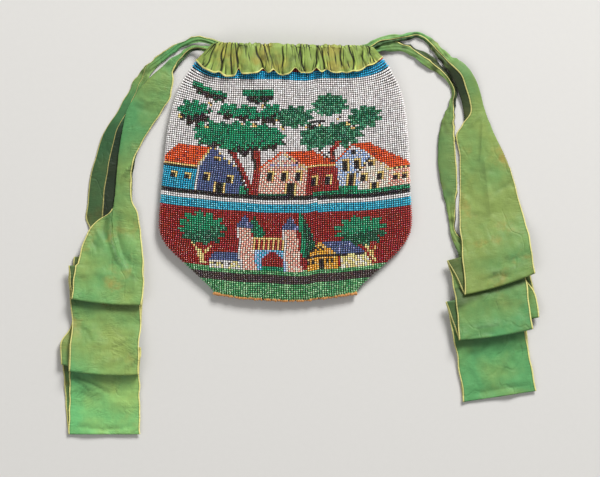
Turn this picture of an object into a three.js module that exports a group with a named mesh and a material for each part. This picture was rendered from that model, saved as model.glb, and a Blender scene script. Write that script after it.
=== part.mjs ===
// A bead-knit drawstring pouch with a gathered silk casing and silk ribbon ties.
// It lies on its back with the picture side up. The mouth points along +Y and the table is z = 0.
// Lengths are millimetres, angles are degrees. The origin is the middle of the pouch's back.

import * as THREE from "three";

// Driving dimensions
const KNIT_WALL = 2;
const SILK_WALL = 1;
const CLEARANCE = 0.3;
const RIBBON_WIDTH = 50;
const BUNDLE_GROWTH = 0.03;
const FLAT_SHARE_OF_BACK = 0.8;
const SIDE_EDGE_SHARE = 0.97;
const CROWN_POWER = 2.6;
const CASING_PUFF = { front: 1.2, back: 0.1 };
const LEAF_SLACK = 0.15;
const LEAF_OFFSET = CLEARANCE + SILK_WALL / 2 + LEAF_SLACK;
const CHANNEL_RADIUS = { middle: 2.25, end: 0.9 };
const INNER_LEAF = { middle: 14, end: 2, fullUntil: 0.6, shortFrom: 0.78 };

// How finely the cloth is divided
const BODY_COLUMNS = 17;
const BODY_STEPS_PER_ROW = 1.5;
const PLEAT_COLUMNS = 3;
const LEAF_STEPS = 3;
const FOLD_STEPS = 4;
const RIBBON_STEP = 9;
const RIBBON_SPANS = 2;
const SEARCH_STEPS = 24;

// Knitted rows from the mouth down: where a row meets the side edges, how far it reaches left and right,
// how far it sags in the middle and how sharply, then the heights of its front, side edge and back.
const BODY_ROWS = [
  { y: 88, left: 59.5, right: 66.5, dip: 6, curl: 4, front: 16, edge: 5, back: 1.7 },
  { y: 84.5, left: 62.5, right: 69.5, dip: 9, curl: 4, front: 16, edge: 5, back: 1.7 },
  { y: 77, left: 68, right: 74.5, dip: 8.5, curl: 3.5, front: 15.2, edge: 4.8, back: 1.1 },
  { y: 66, left: 74.5, right: 80, dip: 7.5, curl: 3, front: 14.2, edge: 4.5, back: 0 },
  { y: 53, left: 79, right: 83.5, dip: 7, curl: 2.5, front: 13.8, edge: 4.5, back: 0 },
  { y: 36, left: 82.5, right: 85.5, dip: 7, curl: 2, front: 13.5, edge: 4.5, back: 0 },
  { y: 15, left: 85, right: 87, dip: 7, curl: 2, front: 13.5, edge: 4.5, back: 0 },
  { y: -6, left: 87, right: 87.5, dip: 7, curl: 2, front: 13, edge: 4.5, back: 0 },
  { y: -25, left: 88.5, right: 88.5, dip: 6.5, curl: 2, front: 12.5, edge: 4.4, back: 0 },
  { y: -35, left: 88, right: 87.5, dip: 6, curl: 2, front: 12, edge: 4.3, back: 0 },
  { y: -43.5, left: 84, right: 83, dip: 5.5, curl: 2, front: 11.5, edge: 4.2, back: 0 },
  { y: -52, left: 76, right: 75.5, dip: 5, curl: 2, front: 11, edge: 4, back: 0 },
  { y: -73, left: 53.5, right: 52.5, dip: 4.8, curl: 2, front: 8.2, edge: 3.2, back: 0 },
  { y: -77.7, left: 50, right: 49, dip: 4.6, curl: 2, front: 6, edge: 2.8, back: 0 },
];
const LAST_BODY_ROW = BODY_ROWS.length - 1;
const HOLLOW_STOPS_SHORT = 0.45;

// Rows of the casing from its hem to its top fold, in the same columns as the knitted rows
const CASING_ROWS = [
  { y: 86.5, left: 61, right: 68, dip: 12.5, curl: 3, slope: 0.6 },
  { y: 91.5, left: 56, right: 65, dip: 7.5, curl: 3, slope: -0.3 },
  { y: 95.7, left: 49, right: 60, dip: 0, curl: 3, slope: -1.2 },
];

// Creases between the gathers of the casing: their places along its top fold and along its hem
const CREASES = [
  { top: -46, hem: -58 },
  { top: -41, hem: -47 },
  { top: -36, hem: -37.5 },
  { top: -32, hem: -32 },
  { top: -20, hem: -15 },
  { top: -3, hem: -1.5 },
  { top: 11.5, hem: 12 },
  { top: 21, hem: 27.5 },
  { top: 38, hem: 39.5 },
  { top: 45, hem: 47 },
  { top: 51, hem: 57 },
  { top: 57, hem: 65 },
];

// Sections of each ribbon tail, from the casing to its free end: middle of the section, direction from its
// left edge to its right edge, width, and height of its underside. Where a tail folds back under itself,
// turn is the height at which it goes on.
const TIE_LEFT_FRONT = [
  { x: -50, y: 92.5, across: -105, width: 8, lift: 6.6 },
  { x: -56.5, y: 93, across: -95, width: 5.5, lift: 5.2 },
  { x: -63.5, y: 93.7, across: -75, width: 4.5, lift: 3 },
  { x: -69.5, y: 91, across: -50, width: 5.5, lift: 1.8 },
  { x: -82, y: 79.5, across: -12, width: 11, lift: 1.6 },
  { x: -87, y: 72, across: -4, width: 18, lift: 2.9 },
  { x: -91, y: 65, across: -2, width: 23, lift: 2.9 },
  { x: -94, y: 58, across: 0, width: 26.5, lift: 2.8 },
  { x: -99, y: 49.5, across: 0, width: 26, lift: 2.8 },
  { x: -104, y: 38, across: 0, width: 21, lift: 2.6 },
  { x: -110, y: 21.5, across: 0, width: 14.5, lift: 2.4 },
  { x: -112.5, y: 5, across: 0, width: 12.5, lift: 2.3 },
  { x: -113.5, y: -12.5, across: 0, width: 14, lift: 2.2 },
  { x: -113, y: -21.5, across: -2, width: 20, lift: 2.1 },
  { x: -117, y: -28, across: -5, width: 30, lift: 2.1 },
  { x: -119.5, y: -35, across: -5, width: 37.5, lift: 2.8 },
  { x: -121.5, y: -49, across: -5, width: 44.5, lift: 5.6 },
  { x: -123, y: -65, across: -5, width: 48.5, lift: 7.5 },
  { x: -124.5, y: -83, across: -5, width: 49.5, lift: 7.5, turn: 6 },
  { x: -126.5, y: -60.5, across: -3, width: 50, lift: 6, turn: 4.5 },
  { x: -126, y: -84, across: -3, width: 49.5, lift: 4.5 },
  { x: -125, y: -98, across: -3, width: 48.5, lift: 3 },
  { x: -126, y: -113, across: -3, width: 48, lift: 7.5 },
  { x: -126.5, y: -132.5, across: -3, width: 49, lift: 7.5, turn: 6 },
  { x: -126, y: -115, across: -3, width: 50, lift: 6, turn: 4.5 },
  { x: -126.5, y: -134, across: -1, width: 49, lift: 4.5 },
  { x: -126.5, y: -149, across: 0, width: 49.5, lift: 1.5 },
  { x: -126.5, y: -176.5, across: 0, width: 50.5, lift: 1.5 },
];

const TIE_LEFT_BACK = [
  { x: -46, y: 94, across: -80, width: 8, lift: 4 },
  { x: -56, y: 98.7, across: -78, width: 5, lift: 2.8 },
  { x: -63, y: 99.2, across: -82, width: 4.5, lift: 1.6 },
  { x: -69.5, y: 97.2, across: -65, width: 4.5, lift: 0.8 },
  { x: -76, y: 93.8, across: -58, width: 5, lift: 0 },
  { x: -85.5, y: 87, across: -52, width: 6, lift: 0 },
  { x: -94, y: 80.5, across: -42, width: 6.5, lift: 0 },
  { x: -99, y: 73.5, across: -30, width: 8, lift: 0 },
  { x: -104.5, y: 61, across: -12, width: 12, lift: 0 },
  { x: -110.5, y: 48, across: 0, width: 14, lift: 0 },
  { x: -116, y: 38.5, across: 0, width: 17, lift: 0 },
  { x: -120.5, y: 21.5, across: 0, width: 21, lift: 0 },
  { x: -123.5, y: 5, across: 0, width: 24, lift: 0 },
  { x: -124.5, y: -12.5, across: 0, width: 26, lift: 0 },
  { x: -121.5, y: -28, across: 0, width: 35, lift: 0 },
  { x: -120.5, y: -41, across: 0, width: 41, lift: 1.2 },
  { x: -121.5, y: -53, across: -2, width: 45, lift: 3 },
  { x: -124.5, y: -80, across: -3, width: 49.5, lift: 3, turn: 1.5 },
  { x: -123.5, y: -54, across: -2, width: 49, lift: 1.5, turn: 0 },
  { x: -125, y: -97, across: -3, width: 48, lift: 0 },
  { x: -132, y: -113, across: -4, width: 49, lift: 3 },
  { x: -132, y: -128.5, across: -4, width: 49.5, lift: 3, turn: 1.5 },
  { x: -133, y: -114.5, across: -4, width: 49.5, lift: 1.5, turn: 0 },
  { x: -130, y: -140, across: -1, width: 50, lift: 0 },
  { x: -127.5, y: -175, across: 0, width: 50, lift: 0 },
];

const TIE_RIGHT_FRONT = [
  { x: 54, y: 92, across: 100, width: 8, lift: 6.9 },
  { x: 60.5, y: 95.4, across: 116, width: 6, lift: 5.9 },
  { x: 66.5, y: 99.1, across: 114, width: 5, lift: 4.5 },
  { x: 76.5, y: 101.3, across: 102, width: 5, lift: 2.4 },
  { x: 85, y: 102.3, across: 94, width: 5.5, lift: 1.2 },
  { x: 91.5, y: 103, across: 82, width: 5, lift: 0.6 },
  { x: 98, y: 101, across: 60, width: 5, lift: 0 },
  { x: 102.5, y: 97, across: 45, width: 6.5, lift: 0 },
  { x: 107, y: 91.5, across: 42, width: 8, lift: 0 },
  { x: 113, y: 85.5, across: 46, width: 9, lift: 0 },
  { x: 118.5, y: 80.5, across: 52, width: 13, lift: 2.6 },
  { x: 124.5, y: 73.5, across: 40, width: 13, lift: 2.6 },
  { x: 130, y: 63.5, across: 12, width: 12, lift: 1 },
  { x: 132.5, y: 52.5, across: 0, width: 13, lift: 0 },
  { x: 134, y: 40.5, across: 0, width: 20.5, lift: 0 },
  { x: 134, y: 32, across: 0, width: 27.5, lift: 0 },
  { x: 139, y: 17, across: 0, width: 32, lift: 0 },
  { x: 142, y: -3, across: 0, width: 38, lift: 0 },
  { x: 143.5, y: -22, across: 4, width: 44, lift: 1.2 },
  { x: 146, y: -38, across: 10, width: 47.5, lift: 5.4 },
  { x: 147.5, y: -50, across: 13, width: 49, lift: 7.9 },
  { x: 149.5, y: -70.5, across: 17, width: 51, lift: 7.9, turn: 6.4 },
  { x: 138, y: -49.5, across: 14, width: 51, lift: 6.4, turn: 4.9 },
  { x: 142.5, y: -70.5, across: 13, width: 51, lift: 4.9 },
  { x: 144, y: -81, across: 11, width: 51, lift: 7.9 },
  { x: 146.5, y: -105.7, across: 8.5, width: 52, lift: 7.9, turn: 6.4 },
  { x: 137.5, y: -80, across: 10, width: 51.5, lift: 6.4, turn: 4.9 },
  { x: 142, y: -104, across: 9, width: 50.5, lift: 4.9 },
  { x: 145, y: -121, across: 9, width: 50.5, lift: 1.5 },
  { x: 150, y: -150, across: 8.7, width: 51.5, lift: 1.5 },
];

const TIE_RIGHT_BACK = [
  { x: 53, y: 91.5, across: 100, width: 8, lift: 4 },
  { x: 60.5, y: 92.6, across: 97, width: 6, lift: 3 },
  { x: 67, y: 93.3, across: 95, width: 6, lift: 1.8 },
  { x: 76, y: 93.8, across: 90, width: 7.5, lift: 0.4 },
  { x: 84.7, y: 93, across: 72, width: 6.5, lift: 0 },
  { x: 92.7, y: 87.7, across: 52, width: 5, lift: 0 },
  { x: 100, y: 81.5, across: 50, width: 5, lift: 0 },
  { x: 107.8, y: 76, across: 46, width: 5, lift: 0 },
  { x: 114, y: 71, across: 30, width: 5, lift: 0 },
  { x: 117.5, y: 63, across: 5, width: 4.5, lift: 0 },
  { x: 116.4, y: 55.3, across: 0, width: 6, lift: 0 },
  { x: 114, y: 44.8, across: 0, width: 9.5, lift: 0 },
  { x: 112.6, y: 36.4, across: 0, width: 12, lift: 0 },
  { x: 112.4, y: 23.8, across: 0, width: 13.5, lift: 0 },
  { x: 112.7, y: 12.6, across: 0, width: 14, lift: 0 },
  { x: 114, y: -0.7, across: 0, width: 13, lift: 0 },
  { x: 115.6, y: -16, across: 0, width: 9, lift: 0 },
  { x: 116.4, y: -26.6, across: 3, width: 5.5, lift: 0 },
  { x: 117.6, y: -36.4, across: 10, width: 5, lift: 0 },
  { x: 127, y: -49, across: 12, width: 15, lift: 1.2 },
  { x: 141, y: -61.5, across: 13, width: 33, lift: 3 },
  { x: 151, y: -80, across: 9, width: 46, lift: 3 },
  { x: 152.3, y: -96.8, across: 7, width: 50, lift: 3, turn: 1.5 },
  { x: 146, y: -64, across: 10, width: 50, lift: 1.5, turn: 0 },
  { x: 144, y: -104, across: 9, width: 50, lift: 0 },
  { x: 149.5, y: -149.5, across: 8.7, width: 51, lift: 0 },
];

// A row between the rows of a table: t counts rows, and a smooth curve runs through each column
function rowAt(rows, t) {
  const last = rows.length - 1;
  const start = Math.min(Math.floor(t), last - 1);
  const f = t - start;
  const near = [-1, 0, 1, 2].map((step) => rows[THREE.MathUtils.clamp(start + step, 0, last)]);
  const row = {};
  for (const name of Object.keys(rows[0])) {
    const [before, from, to, after] = near.map((entry) => entry[name]);
    const leave = (to - before) / 2;
    const arrive = (after - from) / 2;
    const bend = 2 * from - 2 * to + leave + arrive;
    const pull = 3 * (to - from) - 2 * leave - arrive;
    row[name] = ((bend * f + pull) * f + leave) * f + from;
  }
  return row;
}

// Like rowAt, but straight between rows
function straightRowAt(rows, t, name) {
  const start = Math.min(Math.floor(t), rows.length - 2);
  return THREE.MathUtils.lerp(rows[start][name], rows[start + 1][name], t - start);
}

// Share of the full height at a place across a section, from -1 at the left edge to 1 at the right
function crown(across) {
  return (1 - Math.min(Math.abs(across), 1) ** CROWN_POWER) ** (1 / CROWN_POWER);
}

function flatness(across) {
  const past = Math.max(0, Math.abs(across) - FLAT_SHARE_OF_BACK) / (1 - FLAT_SHARE_OF_BACK);
  return Math.sqrt(Math.max(0, 1 - past ** 2));
}

function bodyRow(t) {
  const row = rowAt(BODY_ROWS, t);
  row.back = straightRowAt(BODY_ROWS, t, "back");
  return row;
}

function rowMiddle(row) {
  return (row.right - row.left) / 2;
}

function rowHalf(row) {
  return (row.right + row.left) / 2;
}

function rowHeight(row, across) {
  return row.y - row.dip * (1 - Math.min(Math.abs(across), 1) ** row.curl);
}

function frontHeight(row, across, inset) {
  return row.edge + (row.front - inset - row.edge) * crown(across);
}

function backHeight(row, across, inset) {
  return row.edge - (row.edge - row.back - inset) * flatness(across);
}

// One closed section of the pouch, set in from its outer face: over the front, then back underneath
function bodySection(t, inset) {
  const row = bodyRow(t);
  const points = [];
  for (const height of [frontHeight, backHeight]) {
    for (let k = 0; k < BODY_COLUMNS; k += 1) {
      const angle = (Math.PI * k) / BODY_COLUMNS;
      const across = Math.cos(height === frontHeight ? angle : angle + Math.PI);
      const x = rowMiddle(row) + across * (rowHalf(row) - inset);
      points.push(new THREE.Vector3(x, rowHeight(row, across), height(row, across, inset)));
    }
  }
  return points;
}

// A solid from shared points and triangles, turned so that its faces point outwards
function solidGeometry(points, triangles) {
  let volume = 0;
  for (const [a, b, c] of triangles) {
    volume += points[a].dot(new THREE.Vector3().crossVectors(points[b], points[c]));
  }
  const outward = volume > 0 ? triangles : triangles.map(([a, b, c]) => [a, c, b]);
  const geometry = new THREE.BufferGeometry().setFromPoints(points);
  geometry.setIndex(outward.flat());
  geometry.computeVertexNormals();
  return geometry;
}

// Triangles between two rings of points, given by the number of each ring's first point
function bandTriangles(first, second, count) {
  const triangles = [];
  for (let k = 0; k < count; k += 1) {
    const next = (k + 1) % count;
    triangles.push([first + k, first + next, second + next], [first + k, second + next, second + k]);
  }
  return triangles;
}

// Triangles that close a section between its front half and its back half
function capTriangles(first, count) {
  const triangles = [];
  const half = count / 2;
  for (let k = 0; k < half; k += 1) {
    const front = [first + k, first + k + 1];
    const back = [first + ((count - k) % count), first + count - k - 1];
    const pair = [
      [front[0], front[1], back[1]],
      [front[0], back[1], back[0]],
    ];
    triangles.push(...pair.filter((corner) => new Set(corner).size === 3));
  }
  return triangles;
}

// The bag: an outer skin and an inner skin joined round the mouth, each closed at the bottom
function beadBodyGeometry() {
  const count = 2 * BODY_COLUMNS;
  const points = [];
  const triangles = [];
  const skins = [
    { inset: 0, bottom: LAST_BODY_ROW },
    { inset: KNIT_WALL, bottom: LAST_BODY_ROW - HOLLOW_STOPS_SHORT },
  ];
  skins.forEach((skin, number) => {
    const firstPoint = points.length;
    const steps = Math.round(skin.bottom * BODY_STEPS_PER_ROW);
    for (let step = 0; step <= steps; step += 1) {
      points.push(...bodySection((skin.bottom * step) / steps, skin.inset));
    }
    const skinTriangles = [];
    for (let step = 0; step < steps; step += 1) {
      const first = firstPoint + step * count;
      skinTriangles.push(...bandTriangles(first, first + count, count));
    }
    skinTriangles.push(...capTriangles(firstPoint + steps * count, count));
    triangles.push(...(number === 0 ? skinTriangles : skinTriangles.map(([a, b, c]) => [a, c, b])));
    if (number === 1) triangles.push(...bandTriangles(firstPoint, 0, count));
  });
  return solidGeometry(points, triangles);
}

// The knitted row that passes over a place in plan, and how far across it that place is
function bodyRowUnder(x, y) {
  let low = 0;
  let high = LAST_BODY_ROW;
  const acrossAt = (row) => (x - rowMiddle(row)) / rowHalf(row);
  for (let step = 0; step < SEARCH_STEPS; step += 1) {
    const middle = (low + high) / 2;
    const row = bodyRow(middle);
    if (rowHeight(row, acrossAt(row)) > y) low = middle;
    else high = middle;
  }
  const row = bodyRow(low);
  return { row, across: THREE.MathUtils.clamp(acrossAt(row), -SIDE_EDGE_SHARE, SIDE_EDGE_SHARE) };
}

// Height of the middle of a casing leaf that lies just outside the pouch
function leafHeight(side, x, y) {
  const { row, across } = bodyRowUnder(x, y);
  if (side === "front") return frontHeight(row, across, 0) + LEAF_OFFSET;
  return backHeight(row, across, 0) - LEAF_OFFSET;
}

// A place on the casing in plan, on a line that runs from the hem (0) to the top fold (1)
function casingPlace(hemX, topX, up) {
  const row = rowAt(CASING_ROWS, up * (CASING_ROWS.length - 1));
  const x = THREE.MathUtils.lerp(hemX, topX, up);
  const across = THREE.MathUtils.clamp((x - rowMiddle(row)) / rowHalf(row), -1, 1);
  return { x, y: rowHeight(row, across) + row.slope * across, across };
}

// One line of the casing: up the outer leaf, over the top fold and down the inner leaf
function casingLine(side, hemX, topX, puff) {
  const top = casingPlace(hemX, topX, 1);
  const end = Math.abs(top.across);
  const short = THREE.MathUtils.smoothstep(end, INNER_LEAF.fullUntil, INNER_LEAF.shortFrom);
  const radius = THREE.MathUtils.lerp(CHANNEL_RADIUS.middle, CHANNEL_RADIUS.end, short);
  const innerLength = THREE.MathUtils.lerp(INNER_LEAF.middle, INNER_LEAF.end, short);
  const out = side === "front" ? 1 : -1;
  const foldY = top.y - radius;
  const line = [];
  for (let step = 0; step <= LEAF_STEPS; step += 1) {
    const up = step / LEAF_STEPS;
    const place = casingPlace(hemX, topX, up);
    const y = Math.min(place.y, foldY);
    line.push(new THREE.Vector3(place.x, y, leafHeight(side, place.x, y) + out * puff * (1 - up / 2)));
  }
  const foldZ = line[LEAF_STEPS].z - out * radius;
  for (let step = 1; step < FOLD_STEPS; step += 1) {
    const angle = (Math.PI * step) / FOLD_STEPS;
    const y = foldY + radius * Math.sin(angle);
    line.push(new THREE.Vector3(topX, y, foldZ + out * radius * Math.cos(angle)));
  }
  for (let step = 0; step < LEAF_STEPS; step += 1) {
    const y = foldY - (innerLength * step) / (LEAF_STEPS - 1);
    const x = THREE.MathUtils.lerp(topX, hemX, (foldY - y) / RIBBON_WIDTH);
    const outerZ = step === 0 ? line[LEAF_STEPS].z : leafHeight(side, x, y);
    line.push(new THREE.Vector3(x, y, outerZ - out * 2 * radius));
  }
  return line;
}

// Half of the casing: lines along each crease and over the puff of each gather between them
function casingGrid(side) {
  const grid = [];
  const gathers = CREASES.length - 1;
  for (let step = 0; step <= gathers * PLEAT_COLUMNS; step += 1) {
    const hemX = straightRowAt(CREASES, step / PLEAT_COLUMNS, "hem");
    const topX = straightRowAt(CREASES, step / PLEAT_COLUMNS, "top");
    const onCrease = step % PLEAT_COLUMNS === 0;
    grid.push(casingLine(side, hemX, topX, onCrease ? 0 : CASING_PUFF[side]));
  }
  return grid.map((line) => line.map((middle) => ({ middle, thickness: SILK_WALL })));
}

// A ribbon drawn narrower than its full width lies in more layers, so its bundle is thicker
function bundleThickness(width) {
  return SILK_WALL + BUNDLE_GROWTH * Math.max(0, RIBBON_WIDTH - width);
}

// A straight section of ribbon, from its left edge to its right edge, moved along its travel and up
function ribbonSection(row, lift, ahead) {
  const angle = THREE.MathUtils.degToRad(row.across);
  const thickness = bundleThickness(row.width);
  const section = [];
  for (let span = 0; span <= RIBBON_SPANS; span += 1) {
    const reach = row.width * (span / RIBBON_SPANS - 0.5);
    const x = row.x + reach * Math.cos(angle) + ahead * Math.sin(angle);
    const y = row.y + reach * Math.sin(angle) - ahead * Math.cos(angle);
    section.push({ middle: new THREE.Vector3(x, y, lift + thickness / 2), thickness });
  }
  return section;
}

// The stretches of a tail between its folds: each starts where the one before it turned under
function ribbonRuns(rows) {
  const runs = [[]];
  for (const { turn, ...row } of rows) {
    runs.at(-1).push(row);
    if (turn !== undefined) runs.push([{ ...row, lift: turn }]);
  }
  return runs;
}

// A whole tail: smooth stretches joined by half-round folds
function ribbonGrid(rows) {
  const grid = [];
  ribbonRuns(rows).forEach((run, number, runs) => {
    for (let k = 0; k < run.length - 1; k += 1) {
      const length = Math.hypot(run[k + 1].x - run[k].x, run[k + 1].y - run[k].y);
      const steps = Math.max(1, Math.round(length / RIBBON_STEP));
      for (let step = 0; step < steps; step += 1) {
        const t = k + step / steps;
        grid.push(ribbonSection(rowAt(run, t), straightRowAt(run, t, "lift"), 0));
      }
    }
    const end = run.at(-1);
    grid.push(ribbonSection(end, end.lift, 0));
    if (number === runs.length - 1) return;
    const radius = (end.lift - runs[number + 1][0].lift) / 2;
    const travel = number % 2 === 0 ? 1 : -1;
    for (let step = 1; step < FOLD_STEPS; step += 1) {
      const angle = (Math.PI * step) / FOLD_STEPS;
      const lift = end.lift - radius + radius * Math.cos(angle);
      grid.push(ribbonSection(end, lift, travel * radius * Math.sin(angle)));
    }
  });
  return grid;
}

// A closed wall of cloth around a grid of middle points, each with its thickness
function clothGeometry(grid) {
  const lines = grid.length;
  const count = grid[0].length;
  const points = [];
  const within = (k, size) => THREE.MathUtils.clamp(k, 0, size - 1);
  const at = (i, j) => grid[within(i, lines)][within(j, count)].middle;
  for (const face of [0.5, -0.5]) {
    for (let i = 0; i < lines; i += 1) {
      for (let j = 0; j < count; j += 1) {
        const along = at(i + 1, j).clone().sub(at(i - 1, j)).normalize();
        const over = at(i, j + 1).clone().sub(at(i, j - 1)).normalize();
        const normal = along.cross(over).normalize();
        points.push(at(i, j).clone().addScaledVector(normal, face * grid[i][j].thickness));
      }
    }
  }
  const triangles = [];
  const under = lines * count;
  const quad = (a, b, c, d) => triangles.push([a, b, c], [a, c, d]);
  for (let i = 0; i < lines - 1; i += 1) {
    for (let j = 0; j < count - 1; j += 1) {
      const a = i * count + j;
      quad(a, a + count, a + count + 1, a + 1);
      quad(under + a, under + a + 1, under + a + count + 1, under + a + count);
    }
    for (const [j, flip] of [[0, true], [count - 1, false]]) {
      const a = i * count + j;
      const rim = [a, a + count, under + a + count, under + a];
      quad(...(flip ? rim.reverse() : rim));
    }
  }
  for (let j = 0; j < count - 1; j += 1) {
    for (const [i, flip] of [[0, false], [lines - 1, true]]) {
      const a = i * count + j;
      const rim = [a, a + 1, under + a + 1, under + a];
      quad(...(flip ? rim.reverse() : rim));
    }
  }
  return solidGeometry(points, triangles);
}

const materials = {
  beads: new THREE.MeshStandardMaterial({ color: "#7c6f68", roughness: 0.35, metalness: 0 }),
  casing: new THREE.MeshStandardMaterial({ color: "#83904d", roughness: 0.6, metalness: 0 }),
  ribbon: new THREE.MeshStandardMaterial({ color: "#88ad66", roughness: 0.55, metalness: 0 }),
};

const pouch = new THREE.Group();

function addPiece(name, geometry, material) {
  const mesh = new THREE.Mesh(geometry, material);
  mesh.name = name;
  pouch.add(mesh);
}

const ties = {
  tie_left_front: TIE_LEFT_FRONT,
  tie_left_back: TIE_LEFT_BACK,
  tie_right_front: TIE_RIGHT_FRONT,
  tie_right_back: TIE_RIGHT_BACK,
};

addPiece("bead_body", beadBodyGeometry(), materials.beads);
for (const side of ["front", "back"]) {
  addPiece(`casing_${side}`, clothGeometry(casingGrid(side)), materials.casing);
}
for (const [name, rows] of Object.entries(ties)) {
  addPiece(name, clothGeometry(ribbonGrid(rows)), materials.ribbon);
}

export default pouch;
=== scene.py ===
"""A bead-knit drawstring pouch with a gathered silk casing and silk ribbon ties, lying on its back.

Tables of the pouch's shape are in millimetres. Everything in the scene is in metres.
"""

from collections import namedtuple
from functools import partialmethod
from math import ceil, pi, radians

import bmesh
import bpy
import numpy as np
from bpy.props import FloatProperty, FloatVectorProperty, IntProperty, PointerProperty
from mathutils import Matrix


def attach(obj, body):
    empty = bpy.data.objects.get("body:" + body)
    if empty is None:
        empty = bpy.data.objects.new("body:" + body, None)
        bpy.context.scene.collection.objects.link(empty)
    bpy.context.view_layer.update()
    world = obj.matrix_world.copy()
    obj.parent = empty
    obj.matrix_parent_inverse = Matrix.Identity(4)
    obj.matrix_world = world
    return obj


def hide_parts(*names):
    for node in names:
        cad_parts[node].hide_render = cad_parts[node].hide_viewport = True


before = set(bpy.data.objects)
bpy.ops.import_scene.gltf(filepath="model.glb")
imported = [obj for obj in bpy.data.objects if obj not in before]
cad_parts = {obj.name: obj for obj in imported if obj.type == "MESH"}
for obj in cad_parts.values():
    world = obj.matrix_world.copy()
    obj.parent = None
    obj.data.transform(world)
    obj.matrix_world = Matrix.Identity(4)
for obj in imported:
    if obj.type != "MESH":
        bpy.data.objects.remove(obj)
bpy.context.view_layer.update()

bl_info = {
    "name": "Bead-knit drawstring pouch",
    "version": (1, 0, 0),
    "blender": (4, 5, 0),
    "location": "3D View > Sidebar > Pouch",
    "description": "Builds a bead-knit pouch with a gathered silk casing and ribbon ties",
    "category": "Add Mesh",
}

MM = 0.001
BODY = "root"

# Knitted rows from the mouth down: where a row meets the side edges, its reach to the left and right,
# how far it sags in the middle and how sharply, then the heights of its front, side edge and back
BodyRow = namedtuple("BodyRow", "y left right dip curl front edge back")
BODY_ROWS = [
    BodyRow(88, 59.5, 66.5, 6, 5, 16, 5, 1.7),
    BodyRow(84.5, 62.5, 69.5, 9.4, 6.5, 16, 5, 1.7),
    BodyRow(77, 68, 74.5, 8.9, 5.8, 15.2, 4.8, 1.1),
    BodyRow(66, 74.5, 80, 7.6, 4, 14.2, 4.5, 0),
    BodyRow(53, 79, 83.5, 7, 2.5, 13.8, 4.5, 0),
    BodyRow(36, 82.5, 85.5, 7, 2, 13.5, 4.5, 0),
    BodyRow(15, 85, 87, 7, 2, 13.5, 4.5, 0),
    BodyRow(-6, 87, 87.5, 7, 2, 13, 4.5, 0),
    BodyRow(-25, 88.5, 88.5, 6.5, 2, 12.5, 4.4, 0),
    BodyRow(-35, 88, 87.5, 6, 2, 12, 4.3, 0),
    BodyRow(-43.5, 84, 83, 5.5, 2, 11.5, 4.2, 0),
    BodyRow(-52, 76, 75.5, 5, 2, 11, 4, 0),
    BodyRow(-73, 53.5, 52.5, 4.8, 2, 8.2, 3.2, 0),
    BodyRow(-77, 51, 50.5, 5.3, 2, 6, 2.8, 0),
]
LAST_BODY_ROW = len(BODY_ROWS) - 1
FLAT_SHARE_OF_BACK = 0.8
SIDE_EDGE_SHARE = 0.97
CROWN_POWER = 2.6
BOTTOM_ROUND = 1.0

# Rows of the casing from its hem to its top fold
CasingRow = namedtuple("CasingRow", "y left right dip curl slope")
CASING_ROWS = [
    CasingRow(86.5, 62.5, 68, 12.5, 3, 0.6),
    CasingRow(91.5, 57, 65, 7.5, 3, -0.3),
    CasingRow(95.7, 49, 60, 0, 3, -1.2),
]

# How far the gathers puff out, how far a leaf of the casing lies from the bag, then the radius of its top
# fold and the depth of its inner leaf, each in the middle and at the ends, and where the ends begin
CASING_PUFF = {"front": 2.4, "back": 0.35}
LEAF_OFFSET = 0.95
CHANNEL_RADIUS = (2.25, 0.9)
INNER_LEAF = (14, 2)
SHORT_LEAF_SHARE = (0.6, 0.78)

# Creases between the gathers of the casing: places along its top fold and its hem, how deep each one is,
# how far the hem is drawn up there and over what width, and how far the hem as a whole hangs down there
Crease = namedtuple("Crease", "top hem depth rise spread drop")
CREASES = [
    Crease(-48.8, -63, 0.2, 0, 2, 1.4),
    Crease(-46.5, -57.5, 0.5, 0, 2, 4.4),
    Crease(-41, -46, 0.9, 2.2, 2.4, 5.2),
    Crease(-36, -37.5, 0.8, 0.6, 2, 4.4),
    Crease(-32, -32.5, 1.0, 4.6, 1.5, 1.4),
    Crease(-20, -15.5, 0.9, 2.6, 2.2, -1.6),
    Crease(-13, -8, 0.4, 3.0, 2.2, -0.6),
    Crease(-3, -1.5, 0.9, 0, 2, 0.4),
    Crease(5, 7, 0.4, 3.8, 2.8, -1.0),
    Crease(11.5, 12.5, 0.9, 0.6, 2, -0.6),
    Crease(20.5, 21.5, 0.8, 3.0, 2.2, -1.2),
    Crease(25, 29, 0.9, 2.0, 2.2, -0.8),
    Crease(38, 39.5, 0.9, 0.8, 2, 1.6),
    Crease(45, 47, 0.8, 0.8, 2, 2.6),
    Crease(51, 57, 0.9, 2.0, 3, 3.6),
    Crease(56.5, 64, 0.6, 0, 2, 1.6),
    Crease(59.5, 68, 0.2, 0, 2, 0),
]

# Sections of each ribbon tail from the casing to its free end: middle of the section, direction from its
# left edge to its right edge in degrees, width, and height of its underside. Where a tail folds back under
# itself, turn is the height at which it goes on.
Section = namedtuple("Section", "x y across width lift turn", defaults=(None,))


def sections(*rows):
    """A tail's sections from rows of plain numbers."""
    return [Section(*row) for row in rows]


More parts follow.
